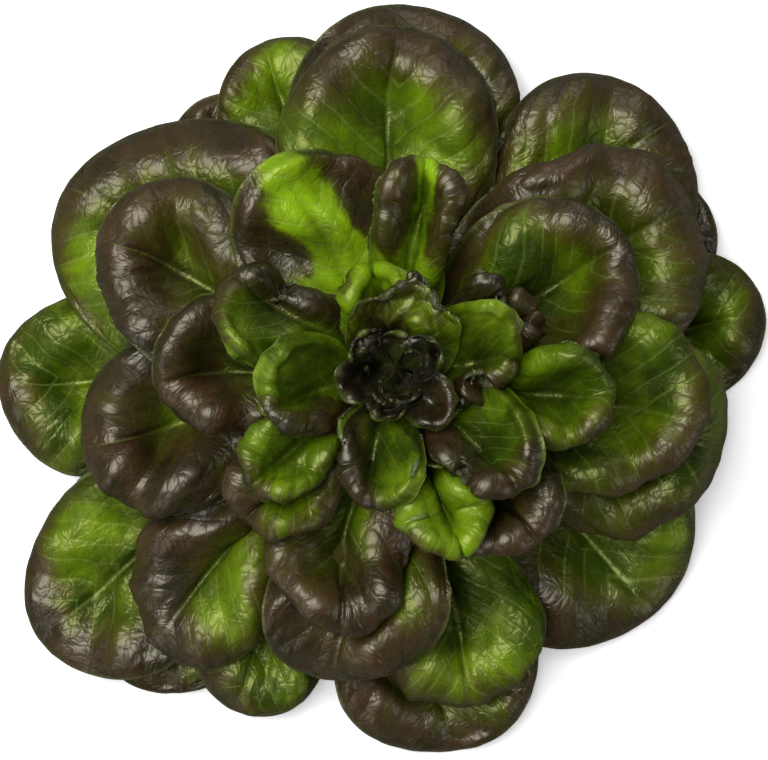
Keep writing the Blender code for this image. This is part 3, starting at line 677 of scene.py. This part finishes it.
for ring, colours in OWN_COLOUR.items():
    in_ring = [leaf for leaf in leaves if leaf["ring"] == ring]
    for count, (leaf, colour) in enumerate(zip(in_ring, colours), start=1):
        leaf.update(name=f"leaf_{ring}_{count:02d}", lime=0.0, toward=None, flanks=0.0)
        leaf.update(zip(("brown", "lime", "toward", "flanks"), colour))
print("leaves with a colour:", sum("brown" in leaf for leaf in leaves))

# %% [markdown]
# ## Making the leaf
#
# The fine net becomes a mesh from Blender's grid tool, whose vertices are moved to the net's
# points. Solidify then gives it the thickness of a leaf, and a vertex group makes it thicker
# along the midrib. The underside gets a material slot of its own.

# %% Build one leaf mesh
SKIN, RIB_THICK = 0.6, 1.7
STOUT_LINE, STOUT_LEVELS = (1.5, 2.5, 0.5), 10
# The lowest place of the upper skin, which keeps the underside off the floor.
LOWEST_SKIN = 1.3
UNDERSIDE = 1
# The flat place in units of 100 mm, the distance from the edge in units of 10 mm, and how far
# the patterns of two leaves that follow one another are shifted apart.
FLAT_UNIT, EDGE_UNIT = 0.01, 0.1
FLAT_SHIFT, VEIN_SHIFT = 0.37, 7


def keep_field(mesh, name, values):
    """Stores one number for every vertex under a name that a material can read."""
    field = mesh.attributes.new(name, "FLOAT", "POINT")
    field.data.foreach_set("value", np.asarray(values, np.float32).ravel())


def keep_flat_places(mesh, x, y, shift):
    """Stores the place on the flat blade as the UV map named blade."""
    layer = mesh.uv_layers.new(name="blade")
    corner = np.zeros(len(mesh.loops), np.int32)
    mesh.loops.foreach_get("vertex_index", corner)
    flat = np.stack([x.ravel(), y.ravel()], -1)[corner] * FLAT_UNIT + shift
    layer.data.foreach_set("uv", flat.astype(np.float32).ravel())


def grid_mesh(name, places):
    """A mesh from the grid tool with its vertices at the places of a net."""
    shape = bmesh.new()
    rows, cols = places.shape[0] - 1, places.shape[1] - 1
    bmesh.ops.create_grid(shape, x_segments=cols, y_segments=rows, size=1.0)
    mesh = bpy.data.meshes.new(name)
    shape.to_mesh(mesh)
    shape.free()
    mesh.vertices.foreach_set("co", (places * MM).astype(np.float32).ravel())
    mesh.shade_smooth()
    return mesh


def linked(name, data):
    """A new object in the scene, from a mesh, a light or a camera."""
    piece = bpy.data.objects.new(name, data)
    bpy.context.scene.collection.objects.link(piece)
    return piece


def thicken(piece, stoutness):
    """Gives a sheet its thickness, which grows with the stoutness kept for every vertex."""
    stout = piece.vertex_groups.new(name="stout")
    for level in range(1, STOUT_LEVELS + 1):
        chosen = np.flatnonzero(np.round(stoutness.ravel() * STOUT_LEVELS) == level)
        if len(chosen):
            stout.add(chosen.tolist(), level / STOUT_LEVELS, "REPLACE")
    thick = piece.modifiers.new("thickness", "SOLIDIFY")
    thick.thickness = RIB_THICK * MM
    thick.offset = -1.0
    thick.vertex_group = "stout"
    thick.thickness_vertex_group = SKIN / RIB_THICK
    thick.material_offset = UNDERSIDE
    thick.material_offset_rim = UNDERSIDE


def leaf_piece(leaf, look, under):
    """A fine leaf as an object, with the fields its material reads."""
    middle, u, v = fine_net(leaf)
    x, y, margin, _, _, around = blade(leaf, u, v)
    height = SKIN * 0.5 + relief(leaf, x, y, margin, around)
    places = middle + normals_of(middle) * height[..., None]
    places[..., 2] = np.maximum(places[..., 2], LOWEST_SKIN)
    mesh = grid_mesh(leaf["name"], places)
    keep_flat_places(mesh, x, y, leaf["number"] * FLAT_SHIFT)
    side_vein, rung = vein_phases(leaf, x, y)
    brown, lime, hollow = colour_fields(leaf, x, y, margin, around)
    along = (y - leaf["root"]) / leaf["length"]
    # Two of these fields are only painted light: the painted shade of the leaf's hollow, and the painted
    # shadow of the leaves that lie on it.
    fields = dict(side_vein=side_vein + leaf["number"] * VEIN_SHIFT, rung=rung, brown=brown, lime=lime,
                  hollow=hollow, shadow_under_leaves=1.0 - leaf["free"], rib_off=np.abs(x) / leaf["round"],
                  edge_in=margin * EDGE_UNIT, out_along=along)
    for name, values in fields.items():
        keep_field(mesh, name, values)
    mesh.materials.append(look)
    mesh.materials.append(under)
    piece = linked(leaf["name"], mesh)
    thicken(piece, near_midrib(x, along, *STOUT_LINE))
    return piece


# %% [markdown]
# ## Materials
#
# The skin of the leaf is a Principled surface. Its colour goes from green to brown by the
# share kept on the vertices. Its sheen is that of a waxy leaf under a wide lamp, yellow on
# green skin and nearly white on brown, and the fine veins break it up.

# %% Small helpers for node trees
def node(tree, kind, **settings):
    """Adds a shader node and sets its properties."""
    made = tree.nodes.new(kind)
    for name, value in settings.items():
        setattr(made, name, value)
    return made


def feed(tree, socket, value):
    """Links an output to a socket, or sets a plain number or colour on it."""
    if isinstance(value, bpy.types.NodeSocket):
        tree.links.new(value, socket)
    else:
        socket.default_value = value


def feed_named(tree, target, **values):
    """Feeds the inputs of a node by their names, written with underscores for spaces."""
    for name, value in values.items():
        feed(tree, target.inputs[name.replace("_", " ")], value)
    return target.outputs


def maths(tree, operation, *values):
    """Result of one Math node."""
    made = node(tree, "ShaderNodeMath", operation=operation)
    for socket, value in zip(made.inputs, values):
        feed(tree, socket, value)
    return made.outputs[0]


def summed(tree, start, *parts):
    """A start value plus each value times its share."""
    for value, share in parts:
        start = maths(tree, "MULTIPLY_ADD", value, share, start)
    return start


def strongest(tree, *lines):
    """The strongest of several kinds of line, each times the share of it that shows."""
    shown = [maths(tree, "MULTIPLY", line, share) for line, share in lines]
    most = shown[0]
    for line in shown[1:]:
        most = maths(tree, "MAXIMUM", most, line)
    return most


def mixed(tree, factor, first, second):
    """Result of mixing two colours."""
    made = node(tree, "ShaderNodeMix", data_type="RGBA")
    feed(tree, made.inputs[0], factor)
    feed(tree, made.inputs[6], first)
    feed(tree, made.inputs[7], second)
    return made.outputs[2]


def shaded(tree, colour, brightness):
    """A colour made darker or brighter by a factor."""
    made = node(tree, "ShaderNodeVectorMath", operation="SCALE")
    feed(tree, made.inputs[0], colour)
    feed(tree, made.inputs["Scale"], brightness)
    return made.outputs[0]


def stepped(tree, value, low, high, start=0.0, end=1.0):
    """A value carried smoothly from start at low to end at high."""
    made = node(tree, "ShaderNodeMapRange", interpolation_type="SMOOTHSTEP")
    for socket, number in zip(made.inputs, (value, low, high, start, end)):
        feed(tree, socket, number)
    return made.outputs[0]


def noise(tree, place, scale, detail, roughness=0.5):
    """Outputs of a noise texture at a place."""
    made = node(tree, "ShaderNodeTexNoise")
    return feed_named(tree, made, Vector=place, Scale=scale, Detail=detail, Roughness=roughness)


def field_node(tree, name):
    """A number kept on the vertices."""
    return node(tree, "ShaderNodeAttribute", attribute_name=name).outputs["Fac"]


def new_look(name):
    """A new material, its node tree and its Principled surface."""
    look = bpy.data.materials.new(name)
    look.use_nodes = True
    return look, look.node_tree, look.node_tree.nodes["Principled BSDF"]


def new_group(name, inputs, outputs):
    """An empty shader node group with its input and output sockets."""
    group = bpy.data.node_groups.new(name, "ShaderNodeTree")
    for title, kind in inputs.items():
        group.interface.new_socket(title, in_out="INPUT", socket_type="NodeSocket" + kind)
    for title, kind in outputs.items():
        group.interface.new_socket(title, in_out="OUTPUT", socket_type="NodeSocket" + kind)
    return group, group.nodes.new("NodeGroupInput").outputs, group.nodes.new("NodeGroupOutput").inputs


def use_group(tree, group, **values):
    """Outputs of a node group with its inputs fed by name."""
    return feed_named(tree, node(tree, "ShaderNodeGroup", node_tree=group), **values)


# %% The net of fine veins
JITTER_SCALE, JITTER_DETAIL, JITTER = 9.0, 2.0, (0.12, 0.12, 0.0)
# A coarser and a finer net, each with how much finer its cells are and how much it counts.
NETS = ((1.0, 1.0), (2.3, 0.5))
NET_LINE, CELL_ROUND = 0.10, 0.30


def fine_net_group():
    """The finest veins, the furrows of the coarser net and the height of the skin between them."""
    group, given, result = new_group(
        "Fine vein net",
        {"Flat place": "Vector", "Cells": "Float"},
        {"Vein": "Float", "Furrow": "Float", "Height": "Float"})
    jitter = noise(group, given["Flat place"], JITTER_SCALE, JITTER_DETAIL)
    moved = node(group, "ShaderNodeVectorMath", operation="MULTIPLY_ADD")
    for socket, value in zip(moved.inputs, (jitter["Color"], JITTER, given["Flat place"])):
        feed(group, socket, value)
    lines, heights = [], []
    for finer, weight in NETS:
        cells = node(group, "ShaderNodeTexVoronoi", feature="DISTANCE_TO_EDGE")
        scale = maths(group, "MULTIPLY", given["Cells"], finer)
        off_line = feed_named(group, cells, Vector=moved.outputs[0], Scale=scale)["Distance"]
        lines.append(stepped(group, off_line, 0.0, NET_LINE, weight, 0.0))
        heights.append(maths(group, "MULTIPLY", stepped(group, off_line, 0.0, CELL_ROUND), weight))
    feed(group, result["Vein"], maths(group, "MAXIMUM", *lines))
    feed(group, result["Furrow"], lines[0])
    feed(group, result["Height"], maths(group, "ADD", *heights))
    return group


fine_veins = fine_net_group()
print("sockets of the fine vein net:", len(fine_veins.interface.items_tree))

# %% The midrib and side veins
LINE_CORE, SIDE_VEIN_WIDE, RUNG_WIDE = 0.01, 0.10, 0.09
FADE_OFF, FADE_TO = (0.5, 1.0), 0.35
MIDRIB_ALONG, MIDRIB_WIDE = (0.1, 0.95), (0.075, 0.012)
MIDRIB_SOFT, MIDRIB_GONE = (0.35, 1.0), (0.8, 1.0)


def rib_group():
    """Lines of the side veins and of the midrib, from the phases kept on the vertices."""
    group, given, result = new_group(
        "Midrib and side veins",
        {"Side vein": "Float", "Rung": "Float", "Off the rib": "Float", "Along": "Float"},
        {"Side veins": "Float", "Rungs": "Float", "Midrib": "Float"})
    off_rib, along = given["Off the rib"], given["Along"]
    fade = stepped(group, off_rib, *FADE_OFF, 1.0, FADE_TO)
    for title, phase, wide in (("Side veins", "Side vein", SIDE_VEIN_WIDE), ("Rungs", "Rung", RUNG_WIDE)):
        nearest = maths(group, "PINGPONG", given[phase], 0.5)
        line = stepped(group, nearest, LINE_CORE, wide, 1.0, 0.0)
        feed(group, result[title], maths(group, "MULTIPLY", line, fade))
    width = stepped(group, along, *MIDRIB_ALONG, *MIDRIB_WIDE)
    line = stepped(group, maths(group, "DIVIDE", off_rib, width), *MIDRIB_SOFT, 1.0, 0.0)
    tip = stepped(group, along, *MIDRIB_GONE, 1.0, 0.0)
    feed(group, result["Midrib"], maths(group, "MULTIPLY", line, tip))
    return group


def leaf_nodes(tree, cells):
    """The flat place, the fine vein net and the ribs in the tree of a leaf's material."""
    flat = node(tree, "ShaderNodeUVMap", uv_map="blade").outputs[0]
    net = use_group(tree, fine_veins, Flat_place=flat, Cells=cells)
    lines = use_group(tree, ribs, Side_vein=field_node(tree, "side_vein"), Rung=field_node(tree, "rung"),
                      Off_the_rib=field_node(tree, "rib_off"), Along=field_node(tree, "out_along"))
    return flat, net, lines


ribs = rib_group()
print("sockets of the ribs:", len(ribs.interface.items_tree))

# %% Pigments of the upper side
DEEP_GREEN = (0.015, 0.038, 0.0003, 1.0)
FRESH_GREEN = (0.110, 0.185, 0.0008, 1.0)
LIME_GREEN = (0.30, 0.52, 0.006, 1.0)
RED_BROWN = (0.040, 0.0185, 0.0062, 1.0)
DARK_BROWN = (0.016, 0.0085, 0.0034, 1.0)
OLIVE = (0.045, 0.042, 0.0012, 1.0)
# Scale and detail of the noises, with the roughness of the first, and how the streaks are drawn
# out along the side veins.
PATCH_NOISE, BROAD_NOISE, STREAK_NOISE = (7.0, 5.0, 0.6), (3.4, 1.0), (2.4, 3.0)
STREAK_VEINS, STREAK_OFF = 0.5, 1.1
WIDE_PATCH = 0.6
GREENS, BROWNS = (-0.16, 0.20), (-0.14, 0.16)
# What moves the border of the brown, and at what share of it the skin is olive and then brown.
BROWN_PATCH, BROWN_STREAK, BROWN_VEIN = 0.6, 0.9, -0.10
TO_OLIVE, TO_BROWN = (0.05, 0.55), (0.42, 1.00)


def pigments(tree, flat, net):
    """Colour of the skin, its share of brown, and the patches and streaks in it, about 0."""
    patch = maths(tree, "SUBTRACT", noise(tree, flat, *PATCH_NOISE)["Fac"], 0.5)
    broad = maths(tree, "SUBTRACT", noise(tree, flat, *BROAD_NOISE)["Fac"], 0.5)
    wide = summed(tree, broad, (patch, WIDE_PATCH))
    drawn_out = feed_named(tree, node(tree, "ShaderNodeCombineXYZ"),
                           X=maths(tree, "MULTIPLY", field_node(tree, "side_vein"), STREAK_VEINS),
                           Y=maths(tree, "MULTIPLY", field_node(tree, "rib_off"), STREAK_OFF))[0]
    streak = maths(tree, "SUBTRACT", noise(tree, drawn_out, *STREAK_NOISE)["Fac"], 0.5)

    browned = summed(tree, field_node(tree, "brown"),
                     (patch, BROWN_PATCH), (streak, BROWN_STREAK), (net["Vein"], BROWN_VEIN))
    greens = mixed(tree, stepped(tree, wide, *GREENS), DEEP_GREEN, FRESH_GREEN)
    greens = mixed(tree, field_node(tree, "lime"), greens, LIME_GREEN)
    browns = mixed(tree, stepped(tree, wide, *BROWNS), DARK_BROWN, RED_BROWN)
    colour = mixed(tree, stepped(tree, browned, *TO_OLIVE), greens, OLIVE)
    colour = mixed(tree, stepped(tree, browned, *TO_BROWN), colour, browns)
    return colour, browned, patch, streak


# %% Veins and edges of the upper side
RIB_PALE = (0.22, 0.30, 0.06, 1.0)
# A painted highlight: the thin pale grey line along the edge of a leaf.
PAINTED_EDGE_HIGHLIGHT = (0.14, 0.13, 0.07, 1.0)
RIB_SHOWN = by_ring(0.60, 0.34, 0.22, 0.16, 0.0)
LIME_EDGE = by_ring(0.05, 0.06, 0.16, 0.40, 0.22)
# Brown skin hides the side veins: how much of them shows on green and on brown.
BROWN_SKIN = (0.3, 0.8)
SIDE_VEINS_SHOWN = (0.36, 0.10)
RUNGS_SHOWN, NET_SHOWN, RIB_PALER = 0.05, 0.04, 0.72
# How far in the painted edge highlight reaches, in units of 10 mm, and how strong it is.
EDGE_HIGHLIGHT_IN, EDGE_HIGHLIGHT_SHARE = (0.04, 0.12), 0.35
LIME_EDGE_IN, LIME_STREAK = (0.05, 0.24), -0.3


def with_veins(tree, colour, browned, net, lines, rib_shown):
    """The colour with the pale midrib and veins drawn on it."""
    shown = stepped(tree, browned, *BROWN_SKIN, *SIDE_VEINS_SHOWN)
    veins = strongest(tree, (lines["Side veins"], shown), (lines["Rungs"], RUNGS_SHOWN),
                      (net["Vein"], NET_SHOWN), (lines["Midrib"], rib_shown))
    return mixed(tree, veins, colour, mixed(tree, RIB_PALER, colour, RIB_PALE))


def with_edges(tree, colour, streak, lime_edge):
    """The colour with a thin pale edge, a painted highlight along the rim, and a wider, uneven lime one."""
    pale = stepped(tree, field_node(tree, "edge_in"), *EDGE_HIGHLIGHT_IN, 1.0, 0.0)
    colour = mixed(tree, maths(tree, "MULTIPLY", pale, EDGE_HIGHLIGHT_SHARE), colour, PAINTED_EDGE_HIGHLIGHT)
    uneven = summed(tree, field_node(tree, "edge_in"), (streak, LIME_STREAK))
    lime = stepped(tree, uneven, *LIME_EDGE_IN, 1.0, 0.0)
    return mixed(tree, maths(tree, "MULTIPLY", lime, lime_edge), colour, LIME_GREEN)


# %% The upper side
LEAF_ROUGHNESS, ROUGH_VEIN, ROUGH_PATCH = 0.37, 0.10, 0.12
LEAF_GLOSS, FURROW_DULLER = 0.88, -0.55
GREEN_SHEEN = (0.95, 1.0, 0.36, 1.0)
BROWN_SHEEN = (1.0, 0.93, 0.76, 1.0)
SHEEN_TURNS = (0.2, 0.8)
# Painted shade: each ring's skin is painted darker the deeper it lies in the head, most in the heart.
RING_PAINTED_SHADE = by_ring(1.0, 1.0, 0.95, 0.85, 0.75)
# Painted shade and shadow: how much darker the skin is painted along the side veins of brown skin, in the
# hollow, under other leaves, in the furrows of the net and along the rim.
VEIN_PAINTED_SHADE, HOLLOW_PAINTED_SHADE, PAINTED_SHADOW_UNDER_LEAVES, FURROW_PAINTED_SHADE, RIM_PAINTED_SHADE = 0.35, 0.36, 0.46, 0.05, 0.30
# How far in from the edge the painted shade of the rim reaches, in units of 10 mm.
RIM_IN = (0.0, 0.9)
PATCH_BRIGHTER = 1.3
DARKEST = 0.12
CELLS_UPPER, BUMP_UPPER = 24.0, 0.00022
SIDE_VEIN_BUMP, RUNG_BUMP = -0.6, -0.3
BUMP_STRENGTH = 0.5


def bumped(tree, surface, height, distance):
    """Gives a surface a small bump."""
    bump = node(tree, "ShaderNodeBump")
    feed_named(tree, bump, Strength=BUMP_STRENGTH, Distance=distance, Height=height)
    feed_named(tree, surface, Normal=bump.outputs[0])


def brightness(tree, browned, patch, net, lines, painted_shade):
    """How bright the skin is: painted shade in the hollow, in the vein and furrow creases and along the
    rim, and painted shadow under other leaves.
    """
    near_rim = stepped(tree, field_node(tree, "edge_in"), *RIM_IN, 1.0, 0.0)
    bright = summed(tree, painted_shade,
                    (lines["Side veins"], stepped(tree, browned, *BROWN_SKIN, 0.0, -VEIN_PAINTED_SHADE)),
                    (field_node(tree, "hollow"), -HOLLOW_PAINTED_SHADE),
                    (field_node(tree, "shadow_under_leaves"), -PAINTED_SHADOW_UNDER_LEAVES),
                    (net["Furrow"], -FURROW_PAINTED_SHADE), (near_rim, -RIM_PAINTED_SHADE), (patch, PATCH_BRIGHTER))
    return maths(tree, "MAXIMUM", bright, DARKEST)


def leaf_upper_side(name, rib_shown, lime_edge, painted_shade):
    """The glossy upper side of a leaf, green to reddish brown, with its veins and its painted shade."""
    look, tree, surface = new_look(name)
    flat, net, lines = leaf_nodes(tree, CELLS_UPPER)
    colour, browned, patch, streak = pigments(tree, flat, net)
    colour = with_veins(tree, colour, browned, net, lines, rib_shown)
    colour = with_edges(tree, colour, streak, lime_edge)
    colour = shaded(tree, colour, brightness(tree, browned, patch, net, lines, painted_shade))
    sheen = mixed(tree, stepped(tree, browned, *SHEEN_TURNS), GREEN_SHEEN, BROWN_SHEEN)
    gloss = summed(tree, LEAF_GLOSS, (net["Furrow"], FURROW_DULLER))
    rough = summed(tree, LEAF_ROUGHNESS, (net["Vein"], ROUGH_VEIN), (patch, ROUGH_PATCH))
    feed_named(tree, surface, Base_Color=colour, Roughness=rough, Specular_Tint=sheen,
               Specular_IOR_Level=gloss)
    height = summed(tree, net["Height"], (lines["Side veins"], SIDE_VEIN_BUMP), (lines["Rungs"], RUNG_BUMP))
    bumped(tree, surface, height, BUMP_UPPER)
    return look


# %% The underside
UNDER_GREEN = (0.13, 0.21, 0.035, 1.0)
UNDER_BROWN = (0.085, 0.055, 0.030, 1.0)
UNDER_BROWNED = 0.8
UNDER_ROUGHNESS = 0.55
# Painted shade of the undersides: darker the deeper the ring lies in the head.
UNDER_RING_PAINTED_SHADE = by_ring(1.0, 0.9, 0.6, 0.4, 0.12)
UNDER_VEINS, UNDER_RUNGS, UNDER_NET = 0.6, 0.3, 0.25
CELLS_UNDER, BUMP_UNDER, UNDER_VEIN_BUMP = 30.0, 0.0007, 1.5


def leaf_underside(name, painted_shade):
    """The paler, duller underside, where the veins stand out, painted darker deeper in the head."""
    look, tree, surface = new_look(name)
    _, net, lines = leaf_nodes(tree, CELLS_UNDER)
    colour = mixed(tree, field_node(tree, "lime"), UNDER_GREEN, LIME_GREEN)
    brown = maths(tree, "MULTIPLY", field_node(tree, "brown"), UNDER_BROWNED)
    colour = mixed(tree, brown, colour, UNDER_BROWN)
    veins = strongest(tree, (lines["Side veins"], UNDER_VEINS), (lines["Rungs"], UNDER_RUNGS),
                      (net["Vein"], UNDER_NET), (lines["Midrib"], 1.0))
    colour = shaded(tree, mixed(tree, veins, colour, RIB_PALE), painted_shade)
    feed_named(tree, surface, Base_Color=colour, Roughness=UNDER_ROUGHNESS)
    sunk = maths(tree, "MULTIPLY", net["Height"], -1.0)
    bumped(tree, surface, summed(tree, sunk, (lines["Side veins"], UNDER_VEIN_BUMP)), BUMP_UNDER)
    return look


# %% [markdown]
# ## The pieces
#
# Each separate leaf takes the place of its node in the model. The small leaves of the heart
# are one node there, so they are made in the same way and then joined.

# %% Make the separate leaves
upper_sides = {ring: leaf_upper_side("leaf_top_" + ring, RIB_SHOWN[ring], LIME_EDGE[ring], RING_PAINTED_SHADE[ring])
               for ring in RINGS}
undersides = {ring: leaf_underside("leaf_under_" + ring, UNDER_RING_PAINTED_SHADE[ring]) for ring in RINGS}
pieces = [(leaf, leaf_piece(leaf, upper_sides[leaf["ring"]], undersides[leaf["ring"]])) for leaf in leaves]
for leaf, piece in pieces:
    if leaf["ring"] != "heart":
        node_name = leaf["name"]
        piece.name = node_name + "_fine"
        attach(piece, "root")
        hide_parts(node_name)
print("leaves made:", len(pieces))

# %% The heart
CORE_ROWS, CORE_SIDES = 28, 72
CORE_LEAVES, CORE_FOLD, CORE_TWIST = 5, 0.22, 0.16
CORE_TIP = (0.05, 76.0)
# The core's share of brown, its painted shadow from the leaves wrapped round it, and how near an edge its
# folds lie, which paints rim shade and an edge highlight on them.
CORE_BROWN, CORE_PAINTED_SHADOW, CORE_EDGE = 0.9, 0.5, 0.3


def core_piece(look):
    """The core of the heart, wrapped in its last and smallest leaves."""
    radii, heights = zip(*CORE_PROFILE, CORE_TIP)
    z, around = np.meshgrid(np.linspace(heights[0], heights[-1], CORE_ROWS + 1),
                            np.linspace(0.0, 2.0 * math.pi, CORE_SIDES + 1), indexing="ij")
    wrapped = np.abs(np.sin(0.5 * CORE_LEAVES * around + CORE_TWIST * z))
    radius = np.interp(z, heights, radii) * (1.0 - CORE_FOLD * (1.0 - wrapped))
    mesh = grid_mesh("core", np.stack([radius * np.cos(around), radius * np.sin(around), z], -1))
    fields = dict(brown=CORE_BROWN, shadow_under_leaves=CORE_PAINTED_SHADOW, edge_in=CORE_EDGE * wrapped,
                  side_vein=around, rib_off=wrapped)
    for name, value in fields.items():
        keep_field(mesh, name, np.broadcast_to(value, z.shape))
    mesh.materials.append(look)
    return linked("core", mesh)


def joined_mesh(name, parts):
    """One mesh of several objects, with their modifiers applied; the objects themselves go."""
    graph = bpy.context.evaluated_depsgraph_get()
    joined = bmesh.new()
    for part in parts:
        joined.from_mesh(bpy.data.meshes.new_from_object(part.evaluated_get(graph)))
    mesh = bpy.data.meshes.new(name)
    joined.to_mesh(mesh)
    joined.free()
    for part in parts:
        bpy.data.objects.remove(part)
    return mesh


heart_parts = [piece for leaf, piece in pieces if leaf["ring"] == "heart"]
heart_parts.append(core_piece(upper_sides["heart"]))
heart_mesh = joined_mesh("heart_fine", heart_parts)
heart_mesh.materials.append(upper_sides["heart"])
heart_mesh.materials.append(undersides["heart"])
heart_piece = linked("heart_fine", heart_mesh)
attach(heart_piece, "root")
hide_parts("heart")
print("faces of the heart:", len(heart_mesh.polygons))

# %% [markdown]
# ## The stem
#
# The stem is the model's own piece. Only its cut face shows, from below, so it gets nothing
# but the pale, grainy look of fresh flesh.

# %% The stem
STEM_FLESH, STEM_GRAIN = (0.60, 0.66, 0.36, 1.0), (0.42, 0.45, 0.20, 1.0)
STEM_NOISE, STEM_ROUGHNESS = (220.0, 4.0), 0.5


def stem_flesh():
    """Pale moist flesh of the cut stem."""
    look, tree, surface = new_look("stem_flesh")
    place = node(tree, "ShaderNodeTexCoord").outputs["Object"]
    grain = noise(tree, place, *STEM_NOISE)["Fac"]
    colour = mixed(tree, grain, STEM_GRAIN, STEM_FLESH)
    feed_named(tree, surface, Base_Color=colour, Roughness=STEM_ROUGHNESS)
    return look


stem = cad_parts["stem"]
stem.material_slots[0].material = stem_flesh()

# %% [markdown]
# ## Floor, lamps and camera
#
# The head is seen from straight above, on white. One wide soft lamp gives the leaves their
# sheen, and three faint lamps at the sides show them from other angles. Real white paper would
# light the leaves from below until their rims glow, so the floor and the backdrop are white
# to the camera only and dark to the leaves.

# %% Floor
WHITE = (1.0, 1.0, 1.0, 1.0)
FLOOR_SIZE, FLOOR_ROUGHNESS, FLOOR_GLOW = 6.0, 0.9, 0.35
FLOOR_SEEN, FLOOR_FOR_LEAVES = (0.92, 0.92, 0.92, 1.0), (0.16, 0.148, 0.11, 1.0)


def floor_paper():
    """Paper that is white to the camera and dark to the leaves."""
    look, tree, surface = new_look("floor_paper")
    to_lens = node(tree, "ShaderNodeLightPath").outputs["Is Camera Ray"]
    colour = mixed(tree, to_lens, FLOOR_FOR_LEAVES, FLOOR_SEEN)
    glow = maths(tree, "MULTIPLY", to_lens, FLOOR_GLOW)
    feed_named(tree, surface, Base_Color=colour, Roughness=FLOOR_ROUGHNESS, Emission_Color=WHITE,
               Emission_Strength=glow)
    return look


bpy.ops.mesh.primitive_plane_add(size=FLOOR_SIZE)
floor = bpy.context.object
floor.name = "floor"
floor.data.materials.append(floor_paper())

# %% Lamps and backdrop
LAMP_AIM = (0.0, 0.0, 0.03)
KEY_PLACE, KEY_SIZE, KEY_WATTS = (-0.60, 0.32, 1.6), 1.6, 46.0
SIDE_PLACES = ((1.6, -0.8, 0.6), (-1.2, -1.3, 0.6), (0.5, 1.7, 0.6))
SIDE_SIZE, SIDE_WATTS = 1.2, 5.5
BACKDROP_SEEN, BACKDROP_LIGHT = 0.95, 0.05


def soft_lamp(name, place, size, watts):
    """A square area lamp that looks at the head."""
    light = bpy.data.lights.new(name, "AREA")
    light.size = size
    light.energy = watts
    lamp = linked(name, light)
    lamp.location = place
    lamp.rotation_euler = (Vector(LAMP_AIM) - Vector(place)).to_track_quat("-Z", "Y").to_euler()


def studio_world():
    """A backdrop that is white to the camera and nearly dark to the leaves."""
    world = bpy.data.worlds.new("studio")
    world.use_nodes = True
    tree = world.node_tree
    to_lens = node(tree, "ShaderNodeLightPath").outputs["Is Camera Ray"]
    strength = summed(tree, BACKDROP_LIGHT, (to_lens, BACKDROP_SEEN))
    feed_named(tree, tree.nodes["Background"], Color=WHITE, Strength=strength)
    return world


soft_lamp("key_lamp", KEY_PLACE, KEY_SIZE, KEY_WATTS)
for count, place in enumerate(SIDE_PLACES):
    soft_lamp(f"side_lamp_{count}", place, SIDE_SIZE, SIDE_WATTS)
bpy.context.scene.world = studio_world()
bpy.context.scene.view_settings.view_transform = "Standard"

# %% Camera
CAMERA_HEIGHT, FOCUS_HEIGHT = 1.4, 0.03
SENSOR = 36.0
VIEW_WIDE, VIEW_TALL = 768, 760
PIXEL = 0.342 * MM
GROWTH_CENTRE = (395, 368)
camera = bpy.data.cameras.new("camera")
camera.sensor_width = SENSOR
camera.lens = SENSOR * (CAMERA_HEIGHT - FOCUS_HEIGHT) / (VIEW_WIDE * PIXEL)
camera_piece = linked("camera", camera)
camera_right = (VIEW_WIDE / 2 - GROWTH_CENTRE[0]) * PIXEL
camera_up = (GROWTH_CENTRE[1] - VIEW_TALL / 2) * PIXEL
camera_piece.location = (camera_right, camera_up, CAMERA_HEIGHT)
bpy.context.scene.camera = camera_piece
